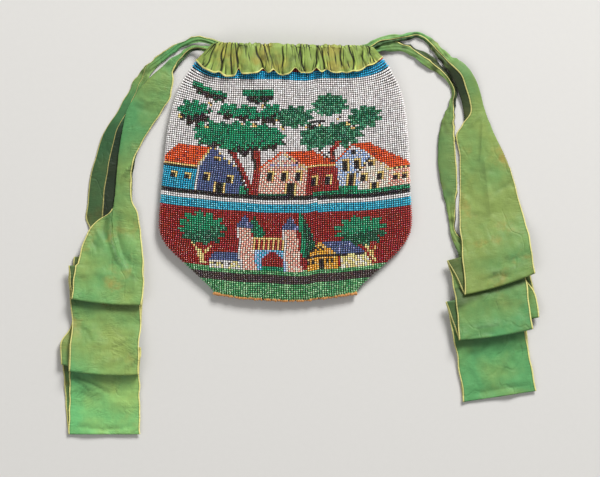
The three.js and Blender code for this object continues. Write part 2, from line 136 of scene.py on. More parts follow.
TIE_LEFT_FRONT = sections(
    (-44, 90, -105, 7, 9.6), (-56.5, 93, -95, 5.5, 5.2), (-63.5, 93.7, -75, 4.5, 3),
    (-69.5, 91, -50, 5.5, 1.8), (-82, 79.5, -12, 11, 1.6), (-87, 72, -4, 18, 2.9),
    (-91, 65, -2, 23, 2.9), (-94, 58, 0, 26.5, 2.8), (-99, 49.5, 0, 26, 2.8),
    (-104, 38, 0, 21, 2.6), (-110, 21.5, 0, 14.5, 2.4), (-112.5, 5, 0, 12.5, 2.3),
    (-113.5, -12.5, 0, 14, 2.2), (-113, -21.5, -2, 20, 2.1), (-117, -28, -5, 30, 2.1),
    (-119.5, -35, -5, 37.5, 2.8), (-121.5, -49, -5, 44.5, 5.6), (-123, -65, -5, 48.5, 7.5),
    (-124.5, -83, -5, 49.5, 7.5, 6), (-126.5, -60.5, -3, 50, 6, 4.5), (-126, -84, -3, 49.5, 4.5),
    (-125, -98, -3, 48.5, 3), (-126, -113, -3, 48, 7.5), (-126.5, -132.5, -3, 49, 7.5, 6),
    (-126, -115, -3, 50, 6, 4.5), (-126.5, -134, -1, 49, 4.5), (-126.5, -149, 0, 49.5, 1.5),
    (-126.5, -176.5, 0, 50.5, 1.5),
)
TIE_LEFT_BACK = sections(
    (-40, 92.5, -80, 7, 3.2), (-56, 98.7, -78, 5, 2.8), (-63, 99.2, -82, 4.5, 1.6),
    (-69.5, 97.2, -65, 4.5, 0.8), (-76, 93.8, -58, 5, 0), (-85.5, 87, -52, 6, 0),
    (-94, 80.5, -42, 6.5, 0), (-99, 73.5, -30, 8, 0), (-104.5, 61, -12, 12, 0),
    (-110.5, 48, 0, 14, 0), (-116, 38.5, 0, 17, 0), (-120.5, 21.5, 0, 21, 0), (-123.5, 5, 0, 24, 0),
    (-124.5, -12.5, 0, 26, 0), (-121.5, -28, 0, 35, 0), (-120.5, -41, 0, 41, 1.2),
    (-121.5, -53, -2, 45, 3), (-124.5, -80, -3, 49.5, 3, 1.5), (-123.5, -54, -2, 49, 1.5, 0),
    (-125, -97, -3, 48, 0), (-132, -113, -4, 49, 3), (-132, -128.5, -4, 49.5, 3, 1.5),
    (-133, -114.5, -4, 49.5, 1.5, 0), (-130, -140, -1, 50, 0), (-127.5, -175, 0, 50, 0),
)
TIE_RIGHT_FRONT = sections(
    (48, 89.5, 100, 7, 9.6), (60.5, 95.6, 116, 6.5, 5.9), (66.5, 98.7, 112, 6, 4.5),
    (76.5, 100.6, 100, 6.5, 2.4), (85, 101.8, 94, 6, 1.2), (91.5, 103, 82, 5, 0.6),
    (98, 101, 60, 5, 0), (102.5, 97, 45, 6.5, 0), (107, 91.5, 42, 8, 0), (113, 85.5, 46, 9, 0),
    (118.5, 80.5, 52, 13, 2.6), (124.3, 73.2, 36, 15, 2.6), (128.6, 63.5, 12, 16, 1),
    (131.6, 52.5, 0, 16.2, 0), (134, 40.5, 0, 20.5, 0), (133.5, 32, 0, 28.5, 0),
    (138.5, 17, 0, 33, 0), (141.5, -3, 0, 39, 0), (143.5, -22, 4, 44, 1.2),
    (146, -38, 10, 47.5, 5.4), (147.5, -50, 13, 49, 7.9), (149.5, -70.5, 17, 51, 7.9, 6.4),
    (138, -49.5, 14, 51, 6.4, 4.9), (142.5, -70.5, 13, 51, 4.9), (144, -81, 11, 51, 7.9),
    (146.5, -105.7, 8.5, 52, 7.9, 6.4), (137.5, -80, 10, 51.5, 6.4, 4.9), (142, -104, 9, 50.5, 4.9),
    (145, -121, 9, 50.5, 1.5), (150, -150, 8.7, 51.5, 1.5),
)
TIE_RIGHT_BACK = sections(
    (46, 90.5, 100, 7, 3.2), (60.5, 93, 97, 7, 3), (67, 94.2, 95, 7.5, 1.8),
    (76, 94.9, 90, 8.8, 0.4), (84.2, 93.6, 74, 7.5, 0), (92.2, 89.2, 56, 7.5, 0),
    (100.2, 84.0, 52, 9.2, 0), (107.8, 78.2, 48, 7.2, 0), (114.2, 72, 34, 5.2, 0),
    (117.8, 63.5, 6, 4.8, 0), (116.4, 55.3, 0, 6, 0), (114, 44.8, 0, 9.5, 0),
    (112.6, 36.4, 0, 12, 0), (112.4, 23.8, 0, 13.5, 0), (112.7, 12.6, 0, 14, 0),
    (114, -0.7, 0, 13, 0), (115.6, -16, 0, 9, 0), (116.4, -26.6, 3, 5.5, 0),
    (117.6, -36.4, 10, 5, 0), (127, -49, 12, 15, 1.2), (141, -61.5, 13, 33, 3),
    (151, -80, 9, 46, 3), (152.3, -96.8, 7, 50, 3, 1.5), (146, -64, 10, 50, 1.5, 0),
    (144, -104, 9, 50, 0), (149.5, -149.5, 8.7, 51, 0),
)

# Creases pressed into the tails, from their upper end to their lower end in plan: how high they stand, how
# wide they are, and the painted shade on their left and on their right, painted light where it is below 0
Wrinkle = namedtuple("Wrinkle", "points height spread left right")
LEFT_WRINKLES = [
    Wrinkle([(-102, 20), (-109, 11), (-115.5, 2.5)], 1.0, 1.2, -0.15, 0.2),
    Wrinkle([(-103, 15.5), (-110, 7), (-114.5, -2)], 0.6, 1.1, 0.1, 0.15),
    Wrinkle([(-136.7, -43), (-131, -44), (-126.7, -47.2)], -0.7, 0.9, 0.2, 0.2),
    Wrinkle([(-145.6, -56.7), (-140, -57), (-135, -59.3)], -0.6, 0.9, 0.18, 0.15),
    Wrinkle([(-146.6, -65), (-142, -66.5), (-137, -66)], -0.6, 0.9, 0.18, 0.15),
    Wrinkle([(-111, -65), (-106, -66), (-102.6, -69.3)], -0.7, 0.9, 0.18, 0.15),
    Wrinkle([(-106.8, -57.7), (-103, -57.6), (-100, -59.3)], -0.6, 0.9, 0.15, 0.15),
    Wrinkle([(-119, -106), (-111, -108), (-103, -106)], -0.6, 0.9, 0.15, 0.1),
    Wrinkle([(-117, -113.5), (-108, -112)], -0.5, 0.9, 0.15, 0.1),
    Wrinkle([(-107, 54), (-100, 51), (-93, 49)], -0.7, 1.4, 0.12, 0.1),
    Wrinkle([(-103, 60), (-96, 56), (-89, 56)], 0.6, 1.4, 0.1, 0),
    Wrinkle([(-120.3, -5), (-122.9, -27), (-122.2, -40), (-118, -52.5), (-109, -65)], 1.9, 1.5, 0.1, 0.34),
    Wrinkle([(-117, -22), (-117.5, -38), (-113, -51), (-107, -59)], -1.2, 2.6, 0.05, 0.2),
    Wrinkle([(-125.5, -24), (-127, -34), (-125, -41)], -0.9, 1.6, 0.3, 0.3),
    Wrinkle([(-134, -30), (-130, -38), (-126, -44)], 0.9, 1.3, 0.2, 0.05),
    Wrinkle([(-137, -38), (-133, -43), (-131, -50)], -0.8, 1.1, 0.15, 0.15),
    Wrinkle([(-141, -46), (-133, -51), (-124, -52)], 0.6, 1.3, 0, 0.12),
    Wrinkle([(-146, -67), (-130, -64), (-115, -67)], 0.5, 2.6, 0, 0.08),
    Wrinkle([(-107, -60), (-105, -70), (-106, -78)], 0.6, 2, 0.1, 0),
    Wrinkle([(-103, -118), (-114, -124), (-131, -128)], 1.1, 1.4, 0.2, 0.05),
    Wrinkle([(-110, -112), (-122, -117), (-136, -119)], -0.6, 1.6, 0.12, 0),
    Wrinkle([(-101, -121), (-106, -127), (-113, -130)], 1.2, 1.1, 0.25, 0.1),
    Wrinkle([(-112, -99), (-121, -98), (-131, -101)], 0.6, 1.6, 0.1, 0),
    Wrinkle([(-148, -101), (-139, -104), (-134, -112)], -0.7, 1.4, 0.1, 0.1),
    Wrinkle([(-150, -135), (-137, -139.5), (-122, -148)], -1.3, 1.1, 0.35, 0.3),
    Wrinkle([(-150, -137), (-141, -142), (-137, -147)], -0.9, 1.2, 0.3, 0.2),
    Wrinkle([(-144, -146), (-136, -150), (-127, -152)], -0.9, 2.6, 0.25, 0.2),
    Wrinkle([(-122, -155), (-110, -154)], 0.5, 2.2, 0.1, 0),
    Wrinkle([(-150, -170), (-128, -173.5), (-104, -171)], -0.8, 1.6, 0, 0.22),
]
RIGHT_WRINKLES = [
    Wrinkle([(137.5, 46), (137.5, 30), (136, 14)], 0.8, 1.1, 0.14, 0),
    Wrinkle([(138, 47), (132, 42), (127, 37)], 0.7, 1.2, 0.15, 0),
    Wrinkle([(138, 20), (141, 0), (144, -28)], 0.6, 2.4, 0.1, 0),
    Wrinkle([(128, 8), (139, 7), (148, 9)], -0.5, 1.1, 0.1, 0.1),
    Wrinkle([(162, 3), (154, -3), (145, -8)], -0.7, 1.3, 0.14, 0.08),
    Wrinkle([(129, -22), (140, -24), (148, -21)], -0.4, 1.4, 0.06, 0.06),
    Wrinkle([(170, -58), (155, -62), (134, -66)], 1.0, 1.2, 0.2, 0),
    Wrinkle([(158, -65), (146, -65.5), (136, -70)], -0.8, 1.1, 0.2, 0.1),
    Wrinkle([(168, -51), (152, -55)], -0.5, 1.8, 0.1, 0),
    Wrinkle([(161, -97), (145, -100.5), (126, -103)], 0.8, 1.5, 0.16, 0),
    Wrinkle([(148, -105), (136, -106), (124, -110)], -0.6, 1.2, 0.16, 0.1),
    Wrinkle([(164, -114), (158, -122), (151, -132)], 0.8, 1.3, 0.16, 0),
    Wrinkle([(143, -112), (137, -118), (126, -121)], -0.6, 1.8, 0.14, 0.1),
    Wrinkle([(172, -141), (150, -145), (128, -149)], -0.7, 1.8, 0.2, 0),
]

# How each tail is folded lengthwise where it is narrower than the ribbon. selvedge is the side whose
# selvedge shows, inset is how far in from the folded edge that lies at some sections, and inset_until are
# the widths between which the inset ends. wraps is how often the silk is turned over, open_at are the
# widths between which it opens out, and pleat_from is the section after which it opens as a pleat. crush is
# how crumpled the silk is, and warm is how yellow it is at some sections. The field between them is the
# painted shade at some sections, and painted light where it is below 0.
Tie = namedtuple(
    "Tie",
    "sections selvedge inset inset_until wraps open_at crush dim warm pleat_from wrinkles",
    defaults=(None, ()),
)
TIES = {
    "tie_left_front": Tie(
        TIE_LEFT_FRONT,
        selvedge=1,
        inset={0: 2.5},
        inset_until=(6, 18),
        wraps=4,
        open_at=(47.4, 47.5),
        crush=0.9,
        dim={0: 0.15, 5: 0.22, 12: 0.22, 14: 0.05, 20: 0.08, 22: 0.08, 24: -0.1, 27: -0.38},
        warm={0: 0.3, 4: 0.35, 8: 0.25, 12: 0.3, 16: 0.7, 18: 0.7, 22: 0.6, 24: 0.3, 26: 0.25},
        pleat_from=11,
        wrinkles=LEFT_WRINKLES,
    ),
    "tie_left_back": Tie(
        TIE_LEFT_BACK,
        selvedge=-1,
        inset={0: 0.2, 6: 0.2, 8: 5, 9: 10},
        inset_until=(40, 46),
        wraps=1,
        open_at=(46, 48),
        crush=0.6,
        dim={0: 0.25, 8: 0.4, 10: 0.68, 14: 0.68, 16: 0.3},
        warm={0: 0.2, 12: 0.2, 16: 0.7},
    ),
    "tie_right_front": Tie(
        TIE_RIGHT_FRONT,
        selvedge=-1,
        inset={0: 6},
        inset_until=(16, 20.5),
        wraps=4,
        open_at=(29, 35),
        crush=0.3,
        dim={0: 0.15, 8: 0.18, 10: 0.32, 12: 0.3, 14: 0.16, 20: 0.24, 24: 0.24, 27: 0.06},
        warm={0: 0.3, 8: 0.5, 10: 0.95, 14: 0.8, 17: 0.8, 20: 0.9, 24: 0.2, 28: 0.05},
        wrinkles=RIGHT_WRINKLES,
    ),
    "tie_right_back": Tie(
        TIE_RIGHT_BACK,
        selvedge=1,
        inset={0: 0.8, 4: 0.8, 5.5: 3.2, 9: 3.2, 11: 0.8},
        inset_until=(10, 15),
        wraps=4,
        open_at=(46, 48),
        crush=0.3,
        dim={0: 0.25, 10: 0.36, 16: 0.36, 20: 0.25},
        warm={0: 0.3, 10: 0.8, 16: 0.8, 20: 0.4},
    ),
}


def from_display(red, green, blue):
    """A colour as it looks on a screen, 0 to 255, as the linear light that Blender works in."""
    parts = np.array([red, green, blue]) / 255
    linear = np.where(parts <= 0.04045, parts / 12.92, ((parts + 0.055) / 1.055) ** 2.4)
    return tuple(float(part) for part in linear)


def colour_property(name, red, green, blue):
    """A colour that a user may change, given as it looks on a screen."""
    return FloatVectorProperty(
        name=name,
        description=f"Colour of the {name.lower()}",
        subtype="COLOR",
        size=3,
        min=0,
        max=1,
        default=from_display(red, green, blue),
    )


def length_property(name, description, length):
    """A length that a user may change, given in millimetres."""
    return FloatProperty(name=name, description=description, default=length * MM, unit="LENGTH")


class PouchBeadColours(bpy.types.PropertyGroup):
    """Colours of the glass beads, by their place in the picture"""

    sky: colour_property("Sky beads", 228, 223, 221)
    band: colour_property("Blue band beads", 24, 162, 206)
    emerald: colour_property("Bright leaf beads", 8, 146, 100)
    leaf: colour_property("Leaf beads", 18, 96, 66)
    sage: colour_property("Pale leaf beads", 74, 150, 112)
    shade: colour_property("Dark leaf beads", 48, 38, 34)
    gold: colour_property("Gold beads", 240, 200, 124)
    roof: colour_property("Roof beads", 228, 88, 36)
    turquoise: colour_property("Turquoise beads", 20, 156, 190)
    river: colour_property("River beads", 62, 178, 204)
    navy: colour_property("Navy beads", 84, 98, 142)
    black: colour_property("Black beads", 34, 28, 26)
    cream: colour_property("Cream beads", 255, 236, 218)
    pink: colour_property("Pink beads", 244, 158, 138)
    blush: colour_property("Blush beads", 255, 216, 198)
    pale_blue: colour_property("Pale blue beads", 164, 190, 232)
    lavender: colour_property("Lavender beads", 172, 168, 214)
    crimson: colour_property("Dark red beads", 156, 34, 28)
    trunk: colour_property("Trunk beads", 160, 62, 48)
    yellow: colour_property("Yellow beads", 236, 166, 52)
    straw: colour_property("Straw beads", 244, 222, 150)
    grass: colour_property("Grass beads", 74, 150, 92)
    meadow: colour_property("Pale grass beads", 136, 188, 134)
    earth: colour_property("Earth beads", 78, 62, 60)


class PouchKnitSettings(bpy.types.PropertyGroup):
    """Sizes of the bead knitting"""

    row_pitch: length_property("Row pitch", "Distance between knitted rows", 1.47)
    bead_length: length_property("Bead length", "Length of a bead along its thread", 1.42)
    bead_diameter: length_property("Bead diameter", "Diameter of a bead", 1.52)
    thread: colour_property("Knitting thread", 34, 27, 23)
    edge_thread: colour_property("Bottom edge thread", 204, 146, 86)
    seed: IntProperty(
        name="Seed",
        description="Start of the random differences between beads",
        default=7,
    )


class PouchSilkSettings(bpy.types.PropertyGroup):
    """Sizes and colours of the silk"""

    ribbon_width: length_property("Ribbon width", "Full width of the ribbon between its selvedges", 50)
    thickness: length_property("Silk thickness", "Thickness of one layer of silk", 0.28)
    ribbon: colour_property("Ribbon", 142, 166, 86)
    ribbon_cool: colour_property("Cool parts of the ribbon", 92, 160, 96)
    ribbon_stain: colour_property("Faded parts of the ribbon", 184, 150, 72)
    casing: colour_property("Casing", 134, 156, 76)
    casing_faded: colour_property("Faded parts of the casing", 152, 146, 66)
    # Painted shade down in the creases of the casing
    casing_crease_shade: colour_property("Creases of the casing", 26, 28, 8)
    selvedge: colour_property("Selvedge", 226, 220, 136)


class PouchStageSettings(bpy.types.PropertyGroup):
    """Camera, floor and light"""

    view_width: length_property("View width", "Width of the floor that the camera sees", 420)
    view_centre: FloatVectorProperty(
        name="View centre",
        description="Point of the floor in the middle of the view",
        size=2,
        default=(10.15 * MM, -39.55 * MM),
        subtype="XYZ_LENGTH",
    )
    camera_height: length_property("Camera height", "Height of the camera above the floor", 2000)
    floor: colour_property("Floor", 212, 210, 206)


# Small tools for shapes


def rows_at(table, places):
    """The rows of a table at the given places, counted in rows, on smooth curves through each column."""
    values = np.array(table, float)
    last = len(values) - 1
    places = np.asarray(places, float)
    start = np.clip(np.floor(places), 0, last - 1).astype(int)
    share = (places - start)[..., None]
    before, here, there, after = (values[np.clip(start + step, 0, last)] for step in (-1, 0, 1, 2))
    leave = (there - before) / 2
    arrive = (after - here) / 2
    bend = 2 * here - 2 * there + leave + arrive
    pull = 3 * (there - here) - 2 * leave - arrive
    return ((bend * share + pull) * share + leave) * share + here


def column_at(table, name, places):
    """One column of a table, straight between its rows."""
    values = [getattr(row, name) for row in table]
    return np.interp(places, np.arange(len(values)), values)


def smoothstep(low, high, value):
    """0 below low, 1 above high, and an even ease between them."""
    share = np.clip((value - low) / (high - low), 0, 1)
    return share * share * (3 - 2 * share)


def hump(offset, width):
    """A soft hump: 1 in the middle, falling away over the width."""
    return np.exp(-((offset / width) ** 2))


def groove(offset, width):
    """A sharp groove: 1 in the middle, falling away over the width."""
    return np.exp(-np.abs(offset) / width)


def unit(vectors):
    """Vectors of the same directions and of length 1."""
    return vectors / np.linalg.norm(vectors, axis=1, keepdims=True)


def distances(points):
    """How far each of a row of points lies from the first one, along the row."""
    steps = np.linalg.norm(np.diff(points, axis=0), axis=1)
    return np.concatenate([[0], np.cumsum(steps)])


def ripple(rng, x, y, shortest, longest, count=9):
    """Even, seeded waves over a surface: x and y in millimetres, the result from about -1 to 1."""
    total = np.zeros(np.broadcast(x, y).shape)
    for _ in range(count):
        angle = rng.uniform(0, 2 * pi)
        length = rng.uniform(shortest, longest)
        phase = rng.uniform(0, 2 * pi)
        total = total + np.sin(2 * pi * (x * np.cos(angle) + y * np.sin(angle)) / length + phase)
    return total / np.sqrt(count)


def flat_cloth(columns, rows):
    """A flat open grid of cloth, from 0 to 1 both ways."""
    cloth = bmesh.new()
    bmesh.ops.create_grid(cloth, x_segments=columns, y_segments=rows, size=0.5)
    bmesh.ops.translate(cloth, verts=cloth.verts, vec=(0.5, 0.5, 0))
    return cloth


def places_on(cloth):
    """Where each vertex of a flat grid lies, across it and along it."""
    flat = np.array([vert.co for vert in cloth.verts])
    return flat[:, 0], flat[:, 1]


def shape_cloth(cloth, points, across, along):
    """Moves a grid's vertices to points in millimetres and gives it a UV map of two numbers a vertex."""
    cloth.verts.index_update()
    uv_map = cloth.loops.layers.uv.new("UVMap")
    for face in cloth.faces:
        for loop in face.loops:
            loop[uv_map].uv = (across[loop.vert.index], along[loop.vert.index])
    for vert, point in zip(cloth.verts, points):
        vert.co = point * MM


def store(cloth, name, values):
    """Keeps one number for each vertex, under a name that a material can read."""
    layer = cloth.verts.layers.float.new(name)
    for vert, value in zip(cloth.verts, values):
        vert[layer] = value


def add_piece(name, shape, finish):
    """A new object from a bmesh or a mesh, in the object's frame, riding on its body."""
    mesh = shape
    if isinstance(shape, bmesh.types.BMesh):
        mesh = bpy.data.meshes.new(name)
        shape.to_mesh(mesh)
        shape.free()
    mesh.shade_smooth()
    mesh.materials.append(finish)
    piece = bpy.data.objects.new(name, mesh)
    bpy.context.scene.collection.objects.link(piece)
    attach(piece, BODY)
    return piece


def thicken(piece, thickness, offset):
    """Gives a sheet its thickness, in metres."""
    wall = piece.modifiers.new("Thickness", "SOLIDIFY")
    wall.thickness = thickness
    wall.offset = offset
    wall.use_even_offset = False


def scatter(name, template, centres, frames, paint, finish):
    """One joined mesh of many small copies of a template, each with its own frame and its own colour."""
    corners = np.array([vert.co for vert in template.verts])
    template.verts.index_update()
    loops = np.array([loop.vert.index for face in template.faces for loop in face.loops])
    starts = np.cumsum([0] + [len(face.loops) for face in template.faces])[:-1]
    template.free()
    count = len(centres)
    places = centres[:, None, :] + np.einsum("nij,kj->nki", frames, corners)
    copies = np.arange(count)[:, None]
    mesh = bpy.data.meshes.new(name)
    mesh.vertices.add(count * len(corners))
    mesh.vertices.foreach_set("co", (places * MM).astype(np.float32).ravel())
    mesh.loops.add(count * len(loops))
    mesh.loops.foreach_set("vertex_index", (copies * len(corners) + loops).astype(np.int32).ravel())
    mesh.polygons.add(count * len(starts))
    mesh.polygons.foreach_set("loop_start", (copies * len(loops) + starts).astype(np.int32).ravel())
    mesh.update(calc_edges=True)
    colour = mesh.attributes.new("paint", "FLOAT_COLOR", "POINT")
    colour.data.foreach_set("color", np.repeat(paint, len(corners), axis=0).astype(np.float32).ravel())
    own_squares(mesh, corners[loops], count)
    return add_piece(name, mesh, finish)


def own_squares(mesh, corners, count):
    """A UV map that gives each copy in a joined mesh a square of its own."""
    side = ceil(count**0.5)
    flat = corners[:, [2, 0]]
    flat = 0.8 * (flat - flat.min(0)) / np.ptp(flat, axis=0) + 0.1
    squares = np.stack([np.arange(count) % side, np.arange(count) // side], axis=1)
    places = (squares[:, None, :] + flat) / side
    uv_map = mesh.uv_layers.new(name="OFBake")
    uv_map.data.foreach_set("uv", places.astype(np.float32).ravel())


# Shader maths


class Value:
    """A socket of a material. Arithmetic on it adds Math nodes."""

    def __init__(self, finish, socket):
        self.finish = finish
        self.socket = socket

    def math(self, operation, other=0.0, other_first=False):
        first, second = (other, self) if other_first else (self, other)
        return self.finish.node("Math", {"operation": operation}, {0: first, 1: second})

    __add__ = partialmethod(math, "ADD")
    __radd__ = partialmethod(math, "ADD", other_first=True)
    __sub__ = partialmethod(math, "SUBTRACT")
    __rsub__ = partialmethod(math, "SUBTRACT", other_first=True)
    __mul__ = partialmethod(math, "MULTIPLY")
    __rmul__ = partialmethod(math, "MULTIPLY", other_first=True)
    __abs__ = partialmethod(math, "ABSOLUTE")

    def between(self, low, high, start=0.0, end=1.0):
        """An even ease from start to end as this value goes from low to high."""
        return self.finish.node(
            "MapRange",
            {"interpolation_type": "SMOOTHSTEP"},
            {"Value": self, "From Min": low, "From Max": high, "To Min": start, "To Max": end},
        )

    def fading(self, low, high):
        """An even ease from 1 to 0 as this value goes from low to high."""
        return self.between(low, high, 1.0, 0.0)

    def part(self, axis):
        """One part of a vector."""
        return self.finish.node("SeparateXYZ", {}, {"Vector": self}, axis)


class Finish:
    """A procedural material, made one node at a time."""

    def __init__(self, name):
        self.material = bpy.data.materials.new(name)
        self.material.use_nodes = True
        self.tree = self.material.node_tree
        self.tree.nodes.clear()

    def node(self, kind, settings, inputs, output=0):
        """Adds a node, sets it up and fills or links its sockets. Returns one of its outputs."""
        node = self.tree.nodes.new("ShaderNode" + kind)
        for name, setting in settings.items():
            setattr(node, name, setting)
        for name, value in inputs.items():
            if isinstance(value, Value):
                self.tree.links.new(value.socket, node.inputs[name])
            else:
                node.inputs[name].default_value = value
        return Value(self, node.outputs[output]) if node.outputs else None

    def place(self):
        """Where a point is on the object, in metres."""
        return self.node("TexCoord", {}, {}, "Object")

    def cloth_place(self):
        """Where a point is on the cloth's own UV map."""
        return self.node("UVMap", {"uv_map": "UVMap"}, {})

    def attribute(self, name, output):
        return self.node("Attribute", {"attribute_name": name}, {}, output)

    def stretched(self, vector, scale):
        return self.node("VectorMath", {"operation": "MULTIPLY"}, {0: vector, 1: scale})

    def noise(self, vector, scale, detail=2.0, roughness=0.5):
        inputs = {"Vector": vector, "Scale": scale, "Detail": detail, "Roughness": roughness}
        return self.node("TexNoise", {}, inputs)

    def streaks(self, cloth, stretch, detail=2.0, roughness=0.5):
        """Noise on the cloth, by how often it changes across the cloth and along it."""
        return self.noise(self.stretched(cloth, (*stretch, 1.0)), 1.0, detail, roughness)

    def mix(self, share, first, second):
        """A colour between two others."""
        first, second = (part if isinstance(part, Value) else (*part, 1) for part in (first, second))
        return self.node("Mix", {"data_type": "RGBA"}, {0: share, 6: first, 7: second}, 2)

    def plain(self, colour):
        value = self.node("RGB", {}, {})
        value.socket.default_value = (*colour, 1)
        return value

    def shaded(self, colour, amount):
        """A colour made lighter or darker: an amount of 1 leaves it as it is."""
        return self.node("VectorMath", {"operation": "SCALE"}, {0: colour, "Scale": amount})

    def bump(self, height, strength, distance):
        inputs = {"Height": height, "Strength": strength, "Distance": distance}
        return self.node("Bump", {}, inputs)

    def finished(self, **sockets):
        """Puts the surface together from the shader's own sockets, by name with underscores for spaces."""
        named = {name.replace("_", " "): value for name, value in sockets.items()}
        surface = self.node("BsdfPrincipled", {}, named)
        self.node("OutputMaterial", {}, {"Surface": surface})
        return self.material


def glass_bead_finish():
    """Glossy opaque glass in each bead's own colour."""
    finish = Finish("glass_beads")
    paint = finish.attribute("paint", "Color")
    tone = finish.attribute("paint", "Alpha")
    return finish.finished(
        Base_Color=paint,
        Roughness=tone.between(0, 1, 0.12, 0.34),
        IOR=1.56,
        Coat_Weight=0.7,
        Coat_Roughness=0.1,
    )


def thread_finish(name, colour, ply):
    """Dull cotton thread; ply is the number of its fine strands in a metre."""
    finish = Finish(name)
    place = finish.place()
    fuzz = finish.noise(place, ply, 3.0)
    patches = finish.noise(place, 90.0, 2.0)
    tone = finish.shaded(finish.plain(colour), 0.72 + 0.56 * patches)
    return finish.finished(
        Base_Color=tone,
        Roughness=fuzz.between(0.3, 0.7, 0.75, 0.95),
        Normal=finish.bump(fuzz, 0.6, 0.0003),
    )


def ribbon_finish(silk):
    """Thin plain-weave silk ribbon with a yellow selvedge along both edges, faded and stained in places.
    Its shade attribute gives painted shade, and painted light where below 0, and its crinkles get painted
    shade.
    """
    finish = Finish("silk_ribbon")
    cloth = finish.cloth_place()
    place = finish.place()
    across = cloth.part(0)
    shade = finish.attribute("shade", "Fac")
    warm = finish.attribute("warm", "Fac")
    to_edge = 0.5 - abs(across - 0.5)
    drift = finish.noise(place, 22.0, 4.0, 0.55)
    blotch = finish.noise(place, 34.0, 4.0, 0.6)
    mottle = finish.streaks(cloth, (7.0, 9.0), 5.0, 0.62)
    weft = finish.streaks(cloth, (5.0, 130.0), 3.0, 0.7)
    warp = finish.streaks(cloth, (120.0, 4.0))
    body = finish.mix(warm + 2.8 * (drift - 0.5), silk.ribbon_cool, silk.ribbon)
    body = finish.mix(0.8 * blotch.between(0.52, 0.7) * warm, body, silk.ribbon_stain)
    body = finish.shaded(body, 0.52 + 0.24 * weft + 0.18 * warp + 0.52 * mottle)
    edge = to_edge + 0.01 * (weft - 0.5)
    selvedge = edge.fading(0.012, 0.022)
    shadow_line = edge.between(0.022, 0.036, 0.66, 1.0)
    body = finish.shaded(body, shadow_line * (1.0 - shade))
    bright = finish.shaded(finish.plain(silk.selvedge), (0.75 + 0.5 * weft) * (1.0 - 0.45 * shade))
    body = finish.mix(selvedge, body, bright)
    crumple = finish.noise(place, 70.0, 4.0, 0.6)
    tilted = finish.stretched(place, (1.0, 0.6, 1.0))
    lines = abs(finish.noise(tilted, 58.0, 2.0, 0.45) - 0.5)
    pressed = lines.fading(0.0, 0.035) * blotch.between(0.42, 0.56)
    pucker = finish.streaks(cloth, (5.0, 34.0)) * to_edge.fading(0.0, 0.16)
    lean = finish.noise(place, 20.0, 0.0)
    bent = finish.node("CombineXYZ", {}, {"X": 4.5 * across, "Y": 14.0 * cloth.part(1) + 9.0 * lean})
    crinkle = abs(finish.noise(bent, 1.0, 2.0, 0.5) - 0.5)
    crinkled = crumple.between(0.45, 0.62) * finish.attribute("crush", "Fac")
    # Painted shade in the valleys of the crinkles
    body = finish.shaded(body, 1.0 - 0.22 * crinkle.fading(0.0, 0.03) * crinkled)
    relief = 0.12 * weft + 1.1 * crumple + 0.8 * pucker + 0.4 * selvedge - 0.35 * pressed
    relief = relief + 2.4 * crinkle * crinkled
    return finish.finished(
        Base_Color=body,
        Roughness=weft.between(0.2, 0.8, 0.5, 0.68),
        Specular_IOR_Level=0.35,
        Sheen_Weight=0.05,
        Sheen_Roughness=0.4,
        Normal=finish.bump(relief, 0.6, 0.0011),
    )


def casing_finish(silk):
    """Olive silk with painted shade down in its creases and where its puffs turn under, painted highlights
    beside its creases, and a yellow selvedge along its hem.
    """
    finish = Finish("silk_casing")
    cloth = finish.cloth_place()
    place = finish.place()
    up = cloth.part(1)
    crease = finish.attribute("crease", "Fac")
    drift = finish.noise(place, 45.0, 3.0, 0.6)
    pulls = finish.streaks(cloth, (110.0, 4.0), 3.0, 0.6)
    body = finish.mix(drift.between(0.45, 0.66), silk.casing, silk.casing_faded)
    # Painted highlights beside the creases, where the crease attribute is below 0
    body = finish.shaded(body, (0.66 + 0.72 * pulls) * crease.between(-0.8, 0.0, 1.9, 1.0))
    # Painted shade in patches where the puffs turn under
    painted_hollow_shade = finish.streaks(cloth, (26.0, 5.0))
    body = finish.shaded(body, painted_hollow_shade.between(0.48, 0.7, 1.0, 0.55))
    # Painted shade down in the creases
    body = finish.mix(crease.between(0.07, 0.55), body, silk.casing_crease_shade)
    edge = up + 0.008 * (pulls - 0.5)
    selvedge = edge.fading(0.03, 0.052)
    body = finish.mix(selvedge, body, silk.selvedge)
    crumple = finish.noise(place, 210.0, 3.0, 0.5)
    return finish.finished(
        Base_Color=body,
        Roughness=drift.between(0.3, 0.7, 0.48, 0.66),
        Specular_IOR_Level=0.35,
        Sheen_Weight=0.06,
        Sheen_Roughness=0.4,
        Normal=finish.bump(1.2 * pulls + 0.6 * crumple, 0.6, 0.0008),
    )


def floor_finish(colour):
    """Matt pale card."""
    finish = Finish("pale_floor")
    grain = finish.noise(finish.place(), 260.0, 3.0)
    tone = finish.shaded(finish.plain(colour), 0.985 + 0.03 * grain)
    return finish.finished(Base_Color=tone, Roughness=0.85)


# The knitted bag


def crown(across):
    """Share of a section's full height, from -1 at its left edge to 1 at its right edge."""
    return (1 - np.minimum(np.abs(across), 1) ** CROWN_POWER) ** (1 / CROWN_POWER)


def flatness(across):
    """Share of a section's full depth at the back, which lies flat on the table."""
    past = np.maximum(0, np.abs(across) - FLAT_SHARE_OF_BACK) / (1 - FLAT_SHARE_OF_BACK)
    return np.sqrt(np.maximum(0, 1 - past**2))


def body_row(places):
    """Columns of the knitted rows at places counted in rows, with the back straight between rows."""
    columns = np.moveaxis(rows_at(BODY_ROWS, places), -1, 0).copy()
    columns[BodyRow._fields.index("back")] = column_at(BODY_ROWS, "back", places)
    return BodyRow(*columns)


def across_row(row, x):
    return (x - (row.right - row.left) / 2) / ((row.right + row.left) / 2)


def row_height(row, across):
    return row.y - row.dip * (1 - np.minimum(np.abs(across), 1) ** row.curl)


